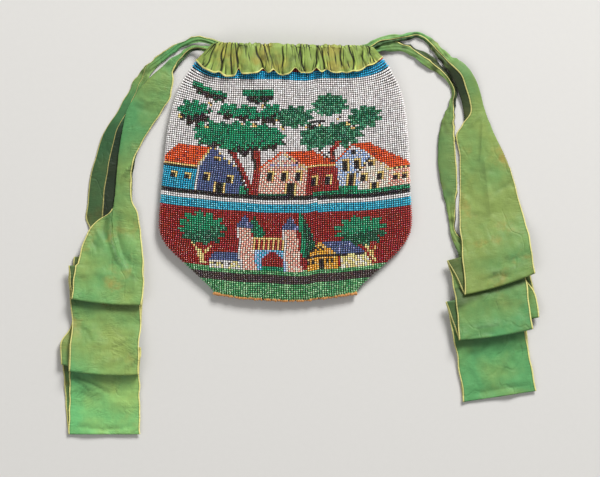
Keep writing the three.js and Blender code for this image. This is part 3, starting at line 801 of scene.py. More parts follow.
def knit_wave(x, y):
    """Soft unevenness of the hand knitting, and its gathers below the casing."""
    gathers = smoothstep(40, 82, y) * 0.55 * np.sin(2 * pi * (x + 5) / 15.5) * np.cos(x / 47)
    slack = 0.22 * np.sin(x / 9.5 + 0.6 * np.sin(y / 13)) * np.sin(y / 11.0)
    return gathers + slack


def knit_drift(x, y):
    """How far the rows and columns of the knitting wander in plan."""
    right = smoothstep(14, 24, x) * smoothstep(84, 26, x)
    middle = smoothstep(-14, 14, x) * smoothstep(24, 14, x)
    rows = 0.3 * np.sin(x / 13 + y / 21) + 0.2 * np.sin(x / 5.3 - y / 17) + 0.8 * (right - 0.6 * middle)
    columns = 0.32 * np.sin(y / 7.5 + x / 31) + 0.22 * np.sin(y / 3.9 - x / 19)
    return columns, rows


def knit_surface(places, angles, inset, closing=0.0):
    """Points of the bag: angles run over the front from right to left, then back underneath."""
    row = body_row(places)
    across = np.cos(angles)
    on_front = np.sin(angles) >= 0
    squeeze = np.sqrt(np.maximum(0, 1 - closing**2))
    x = (row.right - row.left) / 2 + across * ((row.right + row.left) / 2 - inset)
    y = row_height(row, across) - BOTTOM_ROUND * closing
    front = row.edge + (row.front - inset - row.edge) * crown(across) * squeeze
    back = row.edge - (row.edge - row.back - inset) * flatness(across) * squeeze
    middle = np.where(on_front, crown(across) ** 2 * squeeze, 0)
    front = front + knit_wave(x, y) * middle
    columns, rows = knit_drift(x, y)
    x = x + columns * middle
    y = y + rows * middle
    return np.stack([x, y, np.where(on_front, front, back)], axis=-1)


def row_places(row_pitch):
    """Where the knitted rows lie, counted in rows of the table, even down the middle of the front."""
    fine = np.linspace(0, LAST_BODY_ROW, 3000)
    down = distances(knit_surface(fine, np.full(fine.shape, pi / 2), 0))
    count = int(down[-1] / row_pitch)
    return np.interp(np.arange(count + 1) * row_pitch, down, fine)


def column_pitch(place):
    """Distance between beads in a row: the knitting is drawn in towards the mouth."""
    return np.interp(place, (0, 3, 7, LAST_BODY_ROW), (1.5, 1.55, 1.66, 1.68))


def bead_angles(place, inset):
    """Angles round one row for its beads, their columns from the middle, and which are on the back."""
    fine = np.linspace(pi / 2, 5 * pi / 2, 1441)
    way = distances(knit_surface(np.full(fine.shape, place), fine, inset))
    pitch = column_pitch(place)
    left_edge = np.interp(pi, fine, way)
    right_edge = np.interp(2 * pi, fine, way) - way[-1]
    left = -np.arange(0, int(left_edge / pitch) + 1)
    right = np.arange(1, int(-right_edge / pitch) + 1)
    columns = np.concatenate([left, right])
    front_way = np.mod(-columns * pitch, way[-1])
    gap_start = -left[-1] * pitch
    gap_end = way[-1] - right[-1] * pitch
    spaces = round((gap_end - gap_start) / pitch)
    back_way = np.linspace(gap_start, gap_end, spaces + 1)[1:-1]
    angles = np.interp(np.concatenate([front_way, back_way]), way, fine)
    hidden = np.concatenate([np.zeros(len(columns), bool), np.ones(len(back_way), bool)])
    return angles, np.concatenate([columns, np.zeros(len(back_way), int)]), hidden


class BeadChart:
    """The picture on the front, one square for each bead: columns from the middle, rows from the mouth."""

    def __init__(self, rows, reach, rng):
        self.names = list(PouchBeadColours.__annotations__)
        self.squares = np.zeros((rows, 2 * reach + 1), int)
        self.columns, self.rows = np.meshgrid(np.arange(-reach, reach + 1), np.arange(rows))
        self.reach = reach
        self.rng = rng

    def fill(self, squares, colour, fleck=None, share=0.5):
        """Colours some squares, with another colour scattered among them."""
        self.squares[squares] = self.names.index(colour)
        if fleck:
            scattered = squares & (self.rng.random(squares.shape) < share)
            self.squares[scattered] = self.names.index(fleck)

    def weave(self, squares, colour, other):
        """Colours some squares in two colours like a chessboard, with a few slips."""
        self.fill(squares, colour)
        self.fill(squares & ((self.columns + self.rows) % 2 == 0), other, colour, 0.15)

    def band(self, top, bottom, colour, fleck=None, share=0.5, step_at=None):
        """Whole rows, from top to bottom. Right of step_at they lie one row lower."""
        rows = self.rows if step_at is None else self.rows - (self.columns >= step_at)
        self.fill((rows >= top) & (rows <= bottom), colour, fleck, share)

    def box(self, left, right, top, bottom):
        wide = (self.columns >= left) & (self.columns <= right)
        return wide & (self.rows >= top) & (self.rows <= bottom)

    def block(self, left, right, top, bottom, *paint):
        """Colours a box of squares."""
        self.fill(self.box(left, right, top, bottom), *paint)

    def inside(self, corners):
        """Squares inside an outline given by its corners, each a column and a row."""
        found = np.zeros(self.squares.shape, bool)
        rows = self.rows + 0.01
        for (x0, y0), (x1, y1) in zip(corners, corners[1:] + corners[:1]):
            if y0 == y1:
                continue
            crosses = (rows > min(y0, y1)) & (rows <= max(y0, y1))
            x = x0 + (rows - y0) * (x1 - x0) / (y1 - y0)
            found ^= crosses & (self.columns < x + 0.5)
        return found

    def shape(self, corners, *paint):
        """Colours the squares inside an outline."""
        self.fill(self.inside(corners), *paint)

    def line(self, start, end, colour, wide=1.0, every=1, fleck=None):
        """A row of beads from one square to another."""
        (x0, y0), (x1, y1) = start, end
        length = max(abs(x1 - x0), abs(y1 - y0), 1)
        for step in range(0, length + 1, every):
            x = x0 + (x1 - x0) * step / length
            y = y0 + (y1 - y0) * step / length
            near = (abs(self.columns - x) <= wide / 2) & (abs(self.rows - y) <= 0.5)
            self.fill(near, colour, fleck)

    def windows(self, *spots):
        """Dark panes, each by its left column, top row and height, with gold over it and to its right."""
        for left, top, tall in spots:
            self.block(left, left + 2, top - 1, top + tall - 1, "gold")
            self.block(left, left + 1, top, top + tall - 1, "black")

    def door(self, left, top, bottom, wide):
        """A dark doorway with gold beads up both sides."""
        self.block(left - 1, left + wide, top, bottom, "gold")
        self.block(left, left + wide - 1, top, bottom, "black")

    def leaves(self, clumps, dark_share, bright="emerald", fleck="leaf", dark="shade", share=0.22):
        """Clumps of leaves, each by its middle, half width, rise and hang, with lobed edges, dark below."""
        for column, row, half_wide, rise, hang in clumps:
            x = (self.columns - column) / half_wide
            y = (self.rows - row) / np.where(self.rows < row, rise, hang)
            angle = np.arctan2(y, x)
            lobes = max(5, round(1.25 * half_wide))
            edge = 0.8 + 0.34 * np.abs(np.cos(lobes * angle / 2 + self.rng.uniform(0, pi)))
            clump = np.hypot(x, y) < edge + self.rng.uniform(-0.05, 0.05, angle.shape)
            self.fill(clump, bright, fleck, share)
            if dark_share > 0:
                border = 1 - 2 * dark_share + self.rng.uniform(-0.2, 0.2, angle.shape)
                self.fill(clump & (y + 0.35 * x > border), dark, fleck, 0.12)

    def sparks(self, *spots):
        """Little groups of gold and black beads between the leaves."""
        for column, row in spots:
            self.block(column, column + 1, row, row + 1, "gold", "sky", 0.35)
            self.block(column + 1, column + 1, row, row, "black")


def paint_ground(chart):
    """The bands that run right round the bag: sky, road, river, red field and meadow."""
    step = 14
    chart.band(0, 3, "crimson")
    chart.band(4, 7, "band", "turquoise", 0.25)
    chart.band(8, 62, "sky")
    chart.band(63, 64, "black", step_at=step)
    chart.band(65, 66, "sky", step_at=step)
    chart.band(67, 70, "river", "turquoise", 0.3, step_at=step)
    chart.band(71, 97, "crimson", step_at=step)
    chart.band(98, 100, "grass", "meadow", 0.35)
    chart.band(101, 104, "earth")
    chart.band(105, 200, "grass", "meadow", 0.4)


def paint_upper_trees(chart):
    """Trees over the village."""
    pale = {"bright": "leaf", "fleck": "sage", "share": 0.42}
    far_left = chart.inside([
        (-45, 11), (-29, 14.5), (-28.5, 16.5), (-30.5, 19.5), (-32, 18), (-34, 19.5),
        (-36, 17.5), (-38, 18.5), (-40, 16.5), (-42, 17), (-43.5, 15), (-45.5, 15),
    ])
    chart.fill(far_left, "emerald", "leaf", 0.25)
    chart.fill(far_left & (chart.rows > 12.9 + (chart.columns + 45) * 0.2), "shade", "leaf", 0.12)
    left = chart.inside([
        (-22, 13), (-7.5, 13), (-8, 16), (-7.5, 18), (-10, 17.5), (-11, 19.5),
        (-13, 18.5), (-15, 20), (-17, 18.5), (-19, 18), (-20.5, 16), (-21.5, 15.5),
    ])
    chart.fill(left, "emerald", "leaf", 0.25)
    chart.fill(left & (chart.rows > 15), "shade", "leaf", 0.2)
    chart.leaves([(-41.5, 25.5, 7, 5.5, 6.5)], 0.42)
    chart.leaves([(-26, 23.5, 5, 4, 3.5), (-19, 24, 5.5, 4, 3.5), (-14.5, 25.5, 3, 2.5, 2)], 0.4)
    chart.leaves([(-8, 24.5, 4.8, 4.8, 4.5)], 0.46)
    chart.leaves([(3, 25, 7.5, 5, 5)], 0, **pale)
    chart.leaves([(-32, 35, 8.5, 6, 6.5), (-9, 36, 7.5, 6, 5), (-20.5, 35.5, 10, 7, 8)], 0.16)
    chart.leaves([(18, 20.2, 7.6, 5.2, 5), (34, 26.8, 7, 5, 5.4)], 0, **pale)
    chart.leaves([(12, 35, 6.5, 6, 6), (22.5, 34.5, 9.5, 5.5, 6.5)], 0, **pale)
    chart.sparks(
        (-36, 20), (-12, 20), (-36, 31), (-20, 28), (-15, 29), (-3, 30), (-5, 27),
        (8, 29), (22, 26), (26, 29), (28, 31), (-48, 28), (13, 29),
    )
    chart.block(10, 16, 28, 28, "black")
    chart.block(9, 12, 30, 31, "shade", "leaf", 0.4)
    chart.line((22, 38), (19, 43), "trunk", 2.4, fleck="crimson")
    chart.line((19, 43), (20, 49), "shade", 2.0, fleck="trunk")
    chart.line((14, 42), (18, 46), "trunk", 1.2, fleck="shade")


def paint_left_house(chart):
    """The house with the turquoise side and the navy gable."""
    chart.shape([(-48, 42), (-33, 42), (-39, 51), (-54, 51), (-54, 48)], "roof", "trunk", 0.08)
    chart.line((-54, 51), (-39, 51), "gold")
    chart.line((-54, 52), (-39, 52), "black")
    chart.block(-60, -39, 53, 62, "turquoise", "river", 0.2)
    chart.shape([(-33, 42), (-31, 42), (-19, 53), (-19, 63), (-38, 63), (-38, 52)], "navy")
    chart.line((-33, 42), (-39, 51), "gold")
    chart.line((-31, 42), (-19, 53), "gold", every=2)
    chart.windows((-49, 56, 2), (-43, 56, 2), (-35, 55, 3), (-25, 55, 3), (-31, 47, 1))
    chart.door(-29, 58, 62, 3)
    chart.block(-19, -16, 59, 62, "emerald")


def paint_trunks(chart):
    """Trunks of the big tree, between the left house and the middle one."""
    chart.line((-24, 43), (-16, 62), "shade")
    chart.line((-23, 43), (-14, 62), "trunk", 2.0, fleck="crimson")
    chart.line((-13, 42), (-13, 62), "trunk", 2.0, fleck="crimson")
    chart.line((-15, 42), (-14, 50), "shade")


def paint_middle_house(chart):
    """The house with the pink gable and the dark red side."""
    gable = chart.inside([(-3, 42), (-1, 42), (9, 50), (9, 63), (-12, 63), (-12, 50)])
    chart.shape([(-2, 42), (11, 42), (22, 50), (8, 50)], "roof", "trunk", 0.06)
    chart.weave(gable, "blush", "pink")
    chart.shape([(-3, 43), (-1, 43), (2, 46), (-6, 46)], "sky", "pale_blue", 0.3)
    chart.line((-7, 48), (5, 48), "cream", fleck="lavender")
    chart.line((-3, 42), (-12, 50), "roof")
    chart.line((-1, 43), (8, 50), "shade", fleck="gold")
    chart.block(9, 22, 50, 62, "crimson", "trunk", 0.25)
    chart.line((9, 49), (21, 49), "gold")
    chart.windows((-8, 52, 4), (-2, 52, 4), (4, 52, 4), (11, 55, 4), (17, 55, 4))
    chart.door(1, 57, 62, 3)
    chart.block(-11, 0, 62, 62, "leaf")


def paint_right_houses(chart):
    """The pale blue house, the cream gable and the long red roof."""
    pale_house = chart.inside([(25, 43), (33, 43), (36, 47), (31, 60), (22, 60), (20, 48)])
    chart.shape([(27, 40), (36, 40), (55, 53), (41, 53), (34, 44)], "roof", "trunk", 0.08)
    chart.weave(pale_house, "pale_blue", "sky")
    chart.line((27, 41), (20, 48), "roof")
    chart.block(28, 29, 43, 44, "black")
    chart.windows((24, 48, 5), (29, 48, 4))
    chart.door(27, 54, 59, 2)
    chart.shape([(36, 46), (44, 53), (44, 63), (31, 63), (30, 53)], "cream", "blush", 0.4)
    chart.line((36, 46), (30, 53), "gold", fleck="black")
    chart.line((36, 46), (43, 53), "gold", every=2)
    chart.windows((35, 49, 2), (32, 55, 3), (39, 55, 3))
    chart.door(37, 59, 62, 2)
    chart.weave(chart.box(44, 60, 53, 62), "blush", "pink")
    chart.line((43, 53), (54, 53), "straw", fleck="shade")
    chart.windows((46, 57, 2), (50, 57, 2))
    chart.block(12, 60, 62, 63, "emerald", "leaf", 0.3)
    chart.block(23, 30, 60, 63, "emerald", "leaf", 0.3)


def paint_lower_trees(chart):
    """Trees in the red field."""
    clumps = [(-35, 80.5, 9.4, 7.5, 6.5), (31.5, 81, 10, 6.5, 7)]
    chart.leaves(clumps, 0.44, fleck="sage", dark="leaf", share=0.26)
    chart.line((-39, 87), (-36, 90), "gold", 1.4, fleck="straw")
    chart.line((-31, 88), (-34, 92), "gold", 1.4, fleck="straw")
    chart.line((-36, 90), (-34, 96), "gold", 2.2, fleck="straw")
    chart.line((34, 88), (38, 96), "gold", 1.4, fleck="straw")
    chart.line((38, 89), (37, 92), "gold")
    chart.shape([(-14, 72), (-12, 76), (-9, 80), (-10, 84), (-14, 84), (-15, 78)], "leaf", "emerald", 0.3)
    chart.shape([(6, 71), (9, 76), (12, 86), (12, 90), (8, 92), (5, 74)], "leaf", "shade", 0.15)
    chart.line((6, 71), (8, 91), "emerald", 1.6)


def paint_tower(chart, left):
    """A pink tower with a blue pointed roof, leaning a little to the left."""
    foot = left + 2
    roof = [(left + 2, 73), (left + 3, 73), (left + 7, 79), (left - 2, 79)]
    chart.shape(roof, "navy", "lavender", 0.1)
    chart.weave(chart.inside([(left, 79), (left + 5, 79), (foot + 6, 99), (foot, 99)]), "blush", "pink")
    chart.line((left, 79), (foot, 98), "sky")


def paint_castle(chart):
    """The low house, the two towers and the gate between them, and the yellow house."""
    chart.shape([(-30, 91), (-19, 91), (-17, 95), (-32, 95)], "navy")
    chart.block(-31, -18, 95, 98, "sky", "straw", 0.3)
    chart.line((-29, 96), (-22, 96), "shade", every=3)
    chart.block(-13, 1, 83, 83, "gold")
    for column in range(-13, 2, 2):
        chart.line((column, 84), (column, 88), "gold")
    chart.weave(chart.box(-12, 1, 89, 98), "pale_blue", "river")
    arch = (chart.columns + 5) ** 2 / 16 + np.maximum(0, 94 - chart.rows) ** 2 / 16 < 1.1
    chart.fill(arch & (chart.rows >= 90) & (chart.rows <= 96), "crimson")
    chart.fill(arch & (chart.rows >= 97) & (chart.rows <= 98), "emerald")
    paint_tower(chart, -20)
    paint_tower(chart, -1)
    chart.shape([(15, 86), (26, 85), (35, 93), (22, 93)], "navy", "lavender", 0.06)
    chart.shape([(13, 86), (15, 86), (22, 92), (22, 99), (9, 99), (9, 92)], "yellow", "gold", 0.2)
    chart.line((9, 92), (22, 92), "black")
    chart.shape([(23, 93), (34, 93), (37, 99), (23, 99)], "straw", "cream", 0.3)
    chart.line((23, 92), (34, 92), "straw", fleck="black")
    chart.line((12, 89), (16, 89), "black", every=2)
    chart.line((13, 88), (15, 88), "black", every=2)
    for left in (10, 12, 18, 20):
        chart.block(left, left, 94, 95, "black")
    chart.block(15, 16, 94, 98, "black")


def bead_chart(rows, rng):
    """The whole picture, painted from the back to the front."""
    chart = BeadChart(rows, 60, rng)
    paint_ground(chart)
    chart.all_round = chart.squares[:, 0].copy()
    for paint in (
        paint_upper_trees,
        paint_left_house,
        paint_trunks,
        paint_middle_house,
        paint_right_houses,
        paint_lower_trees,
        paint_castle,
    ):
        paint(chart)
    return chart


class PouchKnit(bpy.types.Operator):
    """Add the knitted ground that the beads sit on, and the stitched bottom edge"""

    bl_idname = "pouch.knit"
    bl_label = "Knitted ground"

    # The grid of the knit, the share that closes the bottom, its depth under the beads and its thickness
    COLUMNS = 120
    ROWS = 60
    CLOSING_SHARE = 0.05
    INSET = 0.95
    WALL = 0.8

    # Stitches along the bottom edge
    STITCHES = 120
    STITCH_SIZE = (0.5, 0.95, 1.1)
    STITCH_SLANT = 1.2

    def execute(self, context):
        knit = context.scene.pouch_knit
        cloth = flat_cloth(self.COLUMNS, self.ROWS)
        around, down = places_on(cloth)
        places = np.minimum(down / (1 - self.CLOSING_SHARE), 1) * LAST_BODY_ROW
        closing = np.maximum(0, down - 1 + self.CLOSING_SHARE) / self.CLOSING_SHARE
        points = knit_surface(places, 2 * pi * around, self.INSET, closing)
        shape_cloth(cloth, points, around, down)
        bmesh.ops.remove_doubles(cloth, verts=cloth.verts, dist=0.01 * MM)
        bmesh.ops.recalc_face_normals(cloth, faces=cloth.faces)
        finish = thread_finish("knit_thread", knit.thread, 900.0)
        ground = add_piece("knit_ground", cloth, finish)
        thicken(ground, self.WALL * MM, -1)
        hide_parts("bead_body")
        self.add_edge_stitches(knit)
        return {"FINISHED"}

    def add_edge_stitches(self, knit):
        """Thread sewn over and over along the bottom edge."""
        rng = np.random.default_rng(knit.seed + 1)
        count = self.STITCHES
        angles = np.linspace(0.05 * pi, 0.95 * pi, count)
        centres = knit_surface(np.full(count, float(LAST_BODY_ROW)), angles, 0.3, np.full(count, 0.5))
        centres = centres + rng.normal(0, 0.2, centres.shape) + (0, -0.1, 0.3)
        lean = rng.normal(0.35, 0.2, count)
        sizes = rng.uniform(0.75, 1.45, (count, 1, 1))
        frames = np.tile(np.diag(self.STITCH_SIZE), (count, 1, 1))
        frames[:, 0, 2] = self.STITCH_SLANT * np.sin(lean)
        stitch = bmesh.new()
        bmesh.ops.create_uvsphere(stitch, u_segments=6, v_segments=4, radius=1)
        paint = np.ones((count, 4))
        finish = thread_finish("edge_thread", knit.edge_thread, 1500.0)
        scatter("bottom_stitches", stitch, centres, frames * sizes, paint, finish)


class PouchBeads(bpy.types.Operator):
    """Add the glass beads, row by row round the bag"""

    bl_idname = "pouch.beads"
    bl_label = "Glass beads"

    # Bands of rows that are joined, how deep the beads sit, and segments round each bead and along it
    BANDS = 6
    SEAT = 0.62
    SEGMENTS = {"front": (6, 4), "back": (5, 3)}

    # Short steps round a row and down the rows, for the directions of a bead
    TURN = 0.004
    ROW_STEP = 0.03

    def execute(self, context):
        scene = context.scene
        knit = scene.pouch_knit
        rng = np.random.default_rng(knit.seed)
        places = row_places(knit.row_pitch / MM)
        chart = bead_chart(len(places), rng)
        palette = np.array([getattr(scene.pouch_colours, name) for name in chart.names])
        finish = glass_bead_finish()
        for band, rows in enumerate(np.array_split(np.arange(len(places)), self.BANDS), start=1):
            beads = [self.row_of_beads(row, places[row], chart, palette, knit, rng) for row in rows]
            for side, (name, (around, along)) in enumerate(self.SEGMENTS.items()):
                centres, frames, paint = (np.concatenate([row[side][k] for row in beads]) for k in range(3))
                bead = bmesh.new()
                bmesh.ops.create_uvsphere(bead, u_segments=around, v_segments=along, radius=0.5)
                scatter(f"beads_{name}_{band}", bead, centres, frames, paint, finish)
        return {"FINISHED"}

    def row_of_beads(self, number, place, chart, palette, knit, rng):
        """Centres, frames and colours of one row's beads, for the front and for the back."""
        angles, columns, hidden = bead_angles(place, self.SEAT)
        count = len(angles)
        angles = angles + rng.normal(0, 0.0006, count)
        spots = np.full(count, place)
        centres = knit_surface(spots, angles, self.SEAT)
        after = knit_surface(spots, angles + self.TURN, self.SEAT)
        before = knit_surface(spots, angles - self.TURN, self.SEAT)
        above = knit_surface(np.maximum(spots - self.ROW_STEP, 0), angles, self.SEAT)
        below = knit_surface(np.minimum(spots + self.ROW_STEP, LAST_BODY_ROW), angles, self.SEAT)
        along = unit(after - before)
        out = unit(np.cross(below - above, along))
        out = out * np.where(out[:, 2:] * np.where(hidden, -1, 1)[:, None] < -0.2, -1, 1)
        slant = rng.normal(0.1 * (-1) ** number, 0.07, (count, 1))
        along = unit(along + slant * np.cross(out, along))
        aside = np.cross(out, along)
        size = rng.uniform(0.93, 1.05, (count, 1))
        wide = knit.bead_diameter / MM * size
        frames = np.stack([aside * wide, out * wide, along * knit.bead_length / MM * size], axis=2)
        centres = centres + out * rng.normal(0, 0.05, (count, 1))
        names = chart.squares[number][np.clip(columns + chart.reach, 0, 2 * chart.reach)]
        names = np.where(hidden, chart.all_round[number], names)
        tone = np.clip(rng.normal(1.17, 0.14, (count, 1)), 0.75, 1.6)
        colour = palette[names] * tone + rng.normal(0, 0.01, (count, 3))
        paint = np.concatenate([np.clip(colour, 0.005, 1), rng.random((count, 1))], axis=1)
        return [[part[chosen] for part in (centres, frames, paint)] for chosen in (~hidden, hidden)]


# The gathered casing


def row_under(x, y):
    """The knitted row that passes over each place in plan, and how far across it the place is."""
    low = np.zeros(np.shape(x))
    high = np.full(np.shape(x), float(LAST_BODY_ROW))
    for _ in range(24):
        middle = (low + high) / 2
        row = body_row(middle)
        above = row_height(row, across_row(row, x)) > y
        low = np.where(above, middle, low)
        high = np.where(above, high, middle)
    row = body_row(low)
    return row, np.clip(across_row(row, x), -SIDE_EDGE_SHARE, SIDE_EDGE_SHARE)


def leaf_height(side, x, y):
    """Height of the middle of a casing leaf that lies just outside the bag."""
    row, across = row_under(x, y)
    if side == "front":
        return row.edge + (row.front - row.edge) * crown(across) + LEAF_OFFSET
    return row.edge - (row.edge - row.back) * flatness(across) - LEAF_OFFSET


def casing_plan(hem, top, up):
    """Places in plan on lines from the hem (0) to the top fold (1), and how far across they are."""
    row = CasingRow(*np.moveaxis(rows_at(CASING_ROWS, up * (len(CASING_ROWS) - 1)), -1, 0))
    x = hem + (top - hem) * up
    across = np.clip(across_row(row, x), -1, 1)
    return x, row_height(row, across) + row.slope * across, across


class PouchCasing(bpy.types.Operator):
    """Add the gathered silk casing, its front half and its back half"""

    bl_idname = "pouch.casing"
    bl_label = "Silk casing"

    # The grid of the silk, its seeds, and how much of the hem's rise and drop each half takes up
    COLUMNS = {"front": 400, "back": 200}
    ROWS = 30
    SEEDS = {"front": 21, "back": 22}
    HEM_SHARE = {"front": 1, "back": 0.4}

    # Where the outer leaf and the top fold end along the silk, and its long and short creases
    LEAF_END = 0.56
    FOLD_END = 0.70
    CREASE_WIDTH = 1.25
    SMALL_CREASES = 96
    SMALL_CREASE_WIDTH = 0.8

    def execute(self, context):
        silk = context.scene.pouch_silk
        finish = casing_finish(silk)
        for side in ("front", "back"):
            cloth = flat_cloth(self.COLUMNS[side], self.ROWS)
            across, path = places_on(cloth)
            points, crease = self.gathered(side, across, path)
            shape_cloth(cloth, points, across, path)
            # The crease attribute holds painted shade in the creases, and painted highlights beside them
            # below 0
            store(cloth, "crease", crease)
            piece = add_piece(f"casing_{side}_silk", cloth, finish)
            thicken(piece, silk.thickness, 0)
            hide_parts(f"casing_{side}")
        return {"FINISHED"}

    def creases(self, x, up, rng):
        """How deep each place is in the long creases and in the short ones, and the painted shade they lay
        on it, less the painted highlights beside them.
        """
        deep, small, dark, bright = np.zeros((4, *x.shape))
        for fold in CREASES:
            bend = 1.1 * np.sin(rng.uniform(2, 5) * up + rng.uniform(0, 2 * pi))
            bend = bend + 0.3 * np.sin(rng.uniform(8, 13) * up + rng.uniform(0, 2 * pi))
            gap = x - fold.hem - (fold.top - fold.hem) * up - bend
            deep = np.maximum(deep, fold.depth * groove(gap, self.CREASE_WIDTH))
            low, high = rng.uniform(-0.3, 0.45), rng.uniform(0.65, 1.3)
            seen = smoothstep(low - 0.25, low + 0.25, up) * smoothstep(high + 0.25, high - 0.25, up)
            soft = np.where(gap < 0, 0.7, 0.35)
            # Painted shade down in each long crease and, more softly, on its left away from the light, and
            # a painted highlight along its right
            dark = np.maximum(dark, 0.27 * fold.depth * seen * groove(gap, 2.8) * (gap < 0))
            dark = np.maximum(dark, 1.2 * fold.depth * seen * hump(gap, soft))
            bright = np.maximum(bright, fold.depth * seen * hump(gap - 1.3, 0.6))
        for number in range(self.SMALL_CREASES):
            spot = rng.uniform(0.5, len(CREASES) - 1.5)
            hem, top = (column_at(CREASES, name, spot) for name in ("hem", "top"))
            share = up if rng.random() < 0.78 else 1 - up
            seen = smoothstep(1 - rng.uniform(0.3, 1.1), 1, share)
            if number % 4 == 0:
                seen = hump(up - rng.uniform(0.05, 0.75), rng.uniform(0.1, 0.22))
            gap = x - hem - (top - hem) * up - rng.normal(0, 3.5) * (1 - share)
            depth = rng.uniform(0.35, 1.1) * seen
            small = np.maximum(small, depth * groove(gap, self.SMALL_CREASE_WIDTH))
            # Painted shade down in each short crease, and a painted highlight along its right
            dark = np.maximum(dark, depth * hump(gap, rng.uniform(0.25, 0.45)))
            bright = np.maximum(bright, 0.7 * depth * hump(gap - 0.9, 0.4))
        return deep, small, dark - bright * np.clip(1 - 4 * dark, 0, 1)

    def gathered(self, side, across, path):
        """Points of one half of the casing, and the painted shade that its creases lay on each one, below 0
        where they lay a painted highlight.
        """
        out = 1 if side == "front" else -1
        rng = np.random.default_rng(self.SEEDS[side])
        number = across * (len(CREASES) - 1)
        hem, top, drop = (column_at(CREASES, name, number) for name in ("hem", "top", "drop"))
        up = np.clip(path / self.LEAF_END, 0, 1)
        turn = np.clip((path - self.LEAF_END) / (self.FOLD_END - self.LEAF_END), 0, 1)
        inward = np.clip((path - self.FOLD_END) / (1 - self.FOLD_END), 0, 1)
        _, top_y, end = casing_plan(hem, top, np.ones(across.shape))
        short = smoothstep(*SHORT_LEAF_SHARE, np.abs(end))
        radius = CHANNEL_RADIUS[0] + (CHANNEL_RADIUS[1] - CHANNEL_RADIUS[0]) * short
        inner = INNER_LEAF[0] + (INNER_LEAF[1] - INNER_LEAF[0]) * short
        rise = np.zeros(across.shape)
        for fold in CREASES:
            rise = np.maximum(rise, fold.rise * hump(hem - fold.hem, fold.spread))
        rise = (rise - drop) * self.HEM_SHARE[side]
        fold_y = top_y - radius
        x, y, _ = casing_plan(hem, top, up)
        y = np.minimum(y + rise * (1 - up) ** 1.5, fold_y)
        deep, small, dark = self.creases(x, up, rng)
        crimp = ripple(rng, hem, up, 1.8, 4.2)
        size = CASING_PUFF[side] * (1 - 0.35 * up)
        puff = size * (1 - deep - 0.5 * small) + 0.15 * ripple(rng, hem, up * 8, 3, 9)
        frill = ripple(rng, hem, 0, 5.0, 12.0) * smoothstep(0.35, 0, up) * size / 3
        z = leaf_height(side, x, y) + out * np.maximum(puff + frill, 0)
        fold_z = leaf_height(side, top, fold_y) + out * (np.maximum(puff, 0) - radius)
        y = np.where(turn > 0, fold_y + radius * np.sin(pi * turn) * (1 + 0.2 * crimp - 0.4 * small), y)
        z = np.where(turn > 0, fold_z + out * radius * np.cos(pi * turn), z)
        inner_y = fold_y - inner * inward
        inner_x = top + (hem - top) * inner * inward / 50
        inner_z = leaf_height(side, inner_x, inner_y) - out * 2 * radius
        settle = smoothstep(0, 0.4, inward)
        y = np.where(inward > 0, inner_y, y)
        x = np.where(inward > 0, inner_x, x)
        z = np.where(inward > 0, z + (inner_z - z) * settle, z)
        return np.stack([x, y, z], axis=1), dark


# The ribbon ties


def ribbon_runs(sections):
    """The stretches of a tail between its folds: each starts where the one before it turned under."""
    runs = [[]]
    for number, section in enumerate(sections):
        runs[-1].append((number, section))
        if section.turn is not None:
            runs.append([(number, section._replace(lift=section.turn))])
    return runs


# Rows of cloth along a tail: as in its sections, then a step ahead round a fold, the section they lie at
# and the folds passed so far
TailRow = namedtuple("TailRow", "x y across width lift ahead section folds")


def ribbon_path(sections, step, fold_steps):
    """The rows of a tail from the casing to its free end, each of their columns as an upright array."""
    rows = []
    runs = ribbon_runs(sections)
    for number, run in enumerate(runs):
        table = np.array([[*section[:5], count] for count, section in run], float)
        for k in range(len(run) - 1):
            length = np.hypot(*(table[k + 1] - table[k])[:2])
            steps = max(1, round(length / step))
            places = k + np.arange(steps) / steps
            smooth = rows_at(table, places)
            lift, count = (np.interp(places, np.arange(len(run)), column) for column in table[:, 4:].T)
            rows.extend(TailRow(*smooth[i, :4], lift[i], 0.0, count[i], number) for i in range(steps))
        count, end = run[-1]
        rows.append(TailRow(*end[:5], 0.0, count, number))
        if number == len(runs) - 1:
            break
        radius = (end.lift - runs[number + 1][0][1].lift) / 2
        travel = 1 if number % 2 == 0 else -1
        for share in np.arange(1, fold_steps) / fold_steps:
            lift = end.lift - radius + radius * np.cos(pi * share)
            ahead = travel * radius * np.sin(pi * share)
            rows.append(TailRow(*end[:4], lift, ahead, count, number + share))
    return TailRow(*np.array(rows, float).T[:, :, None])


def by_section(values, section):
    """A value that is given at some sections of a tail, straight between them."""
    return np.interp(section, list(values), list(values.values()))


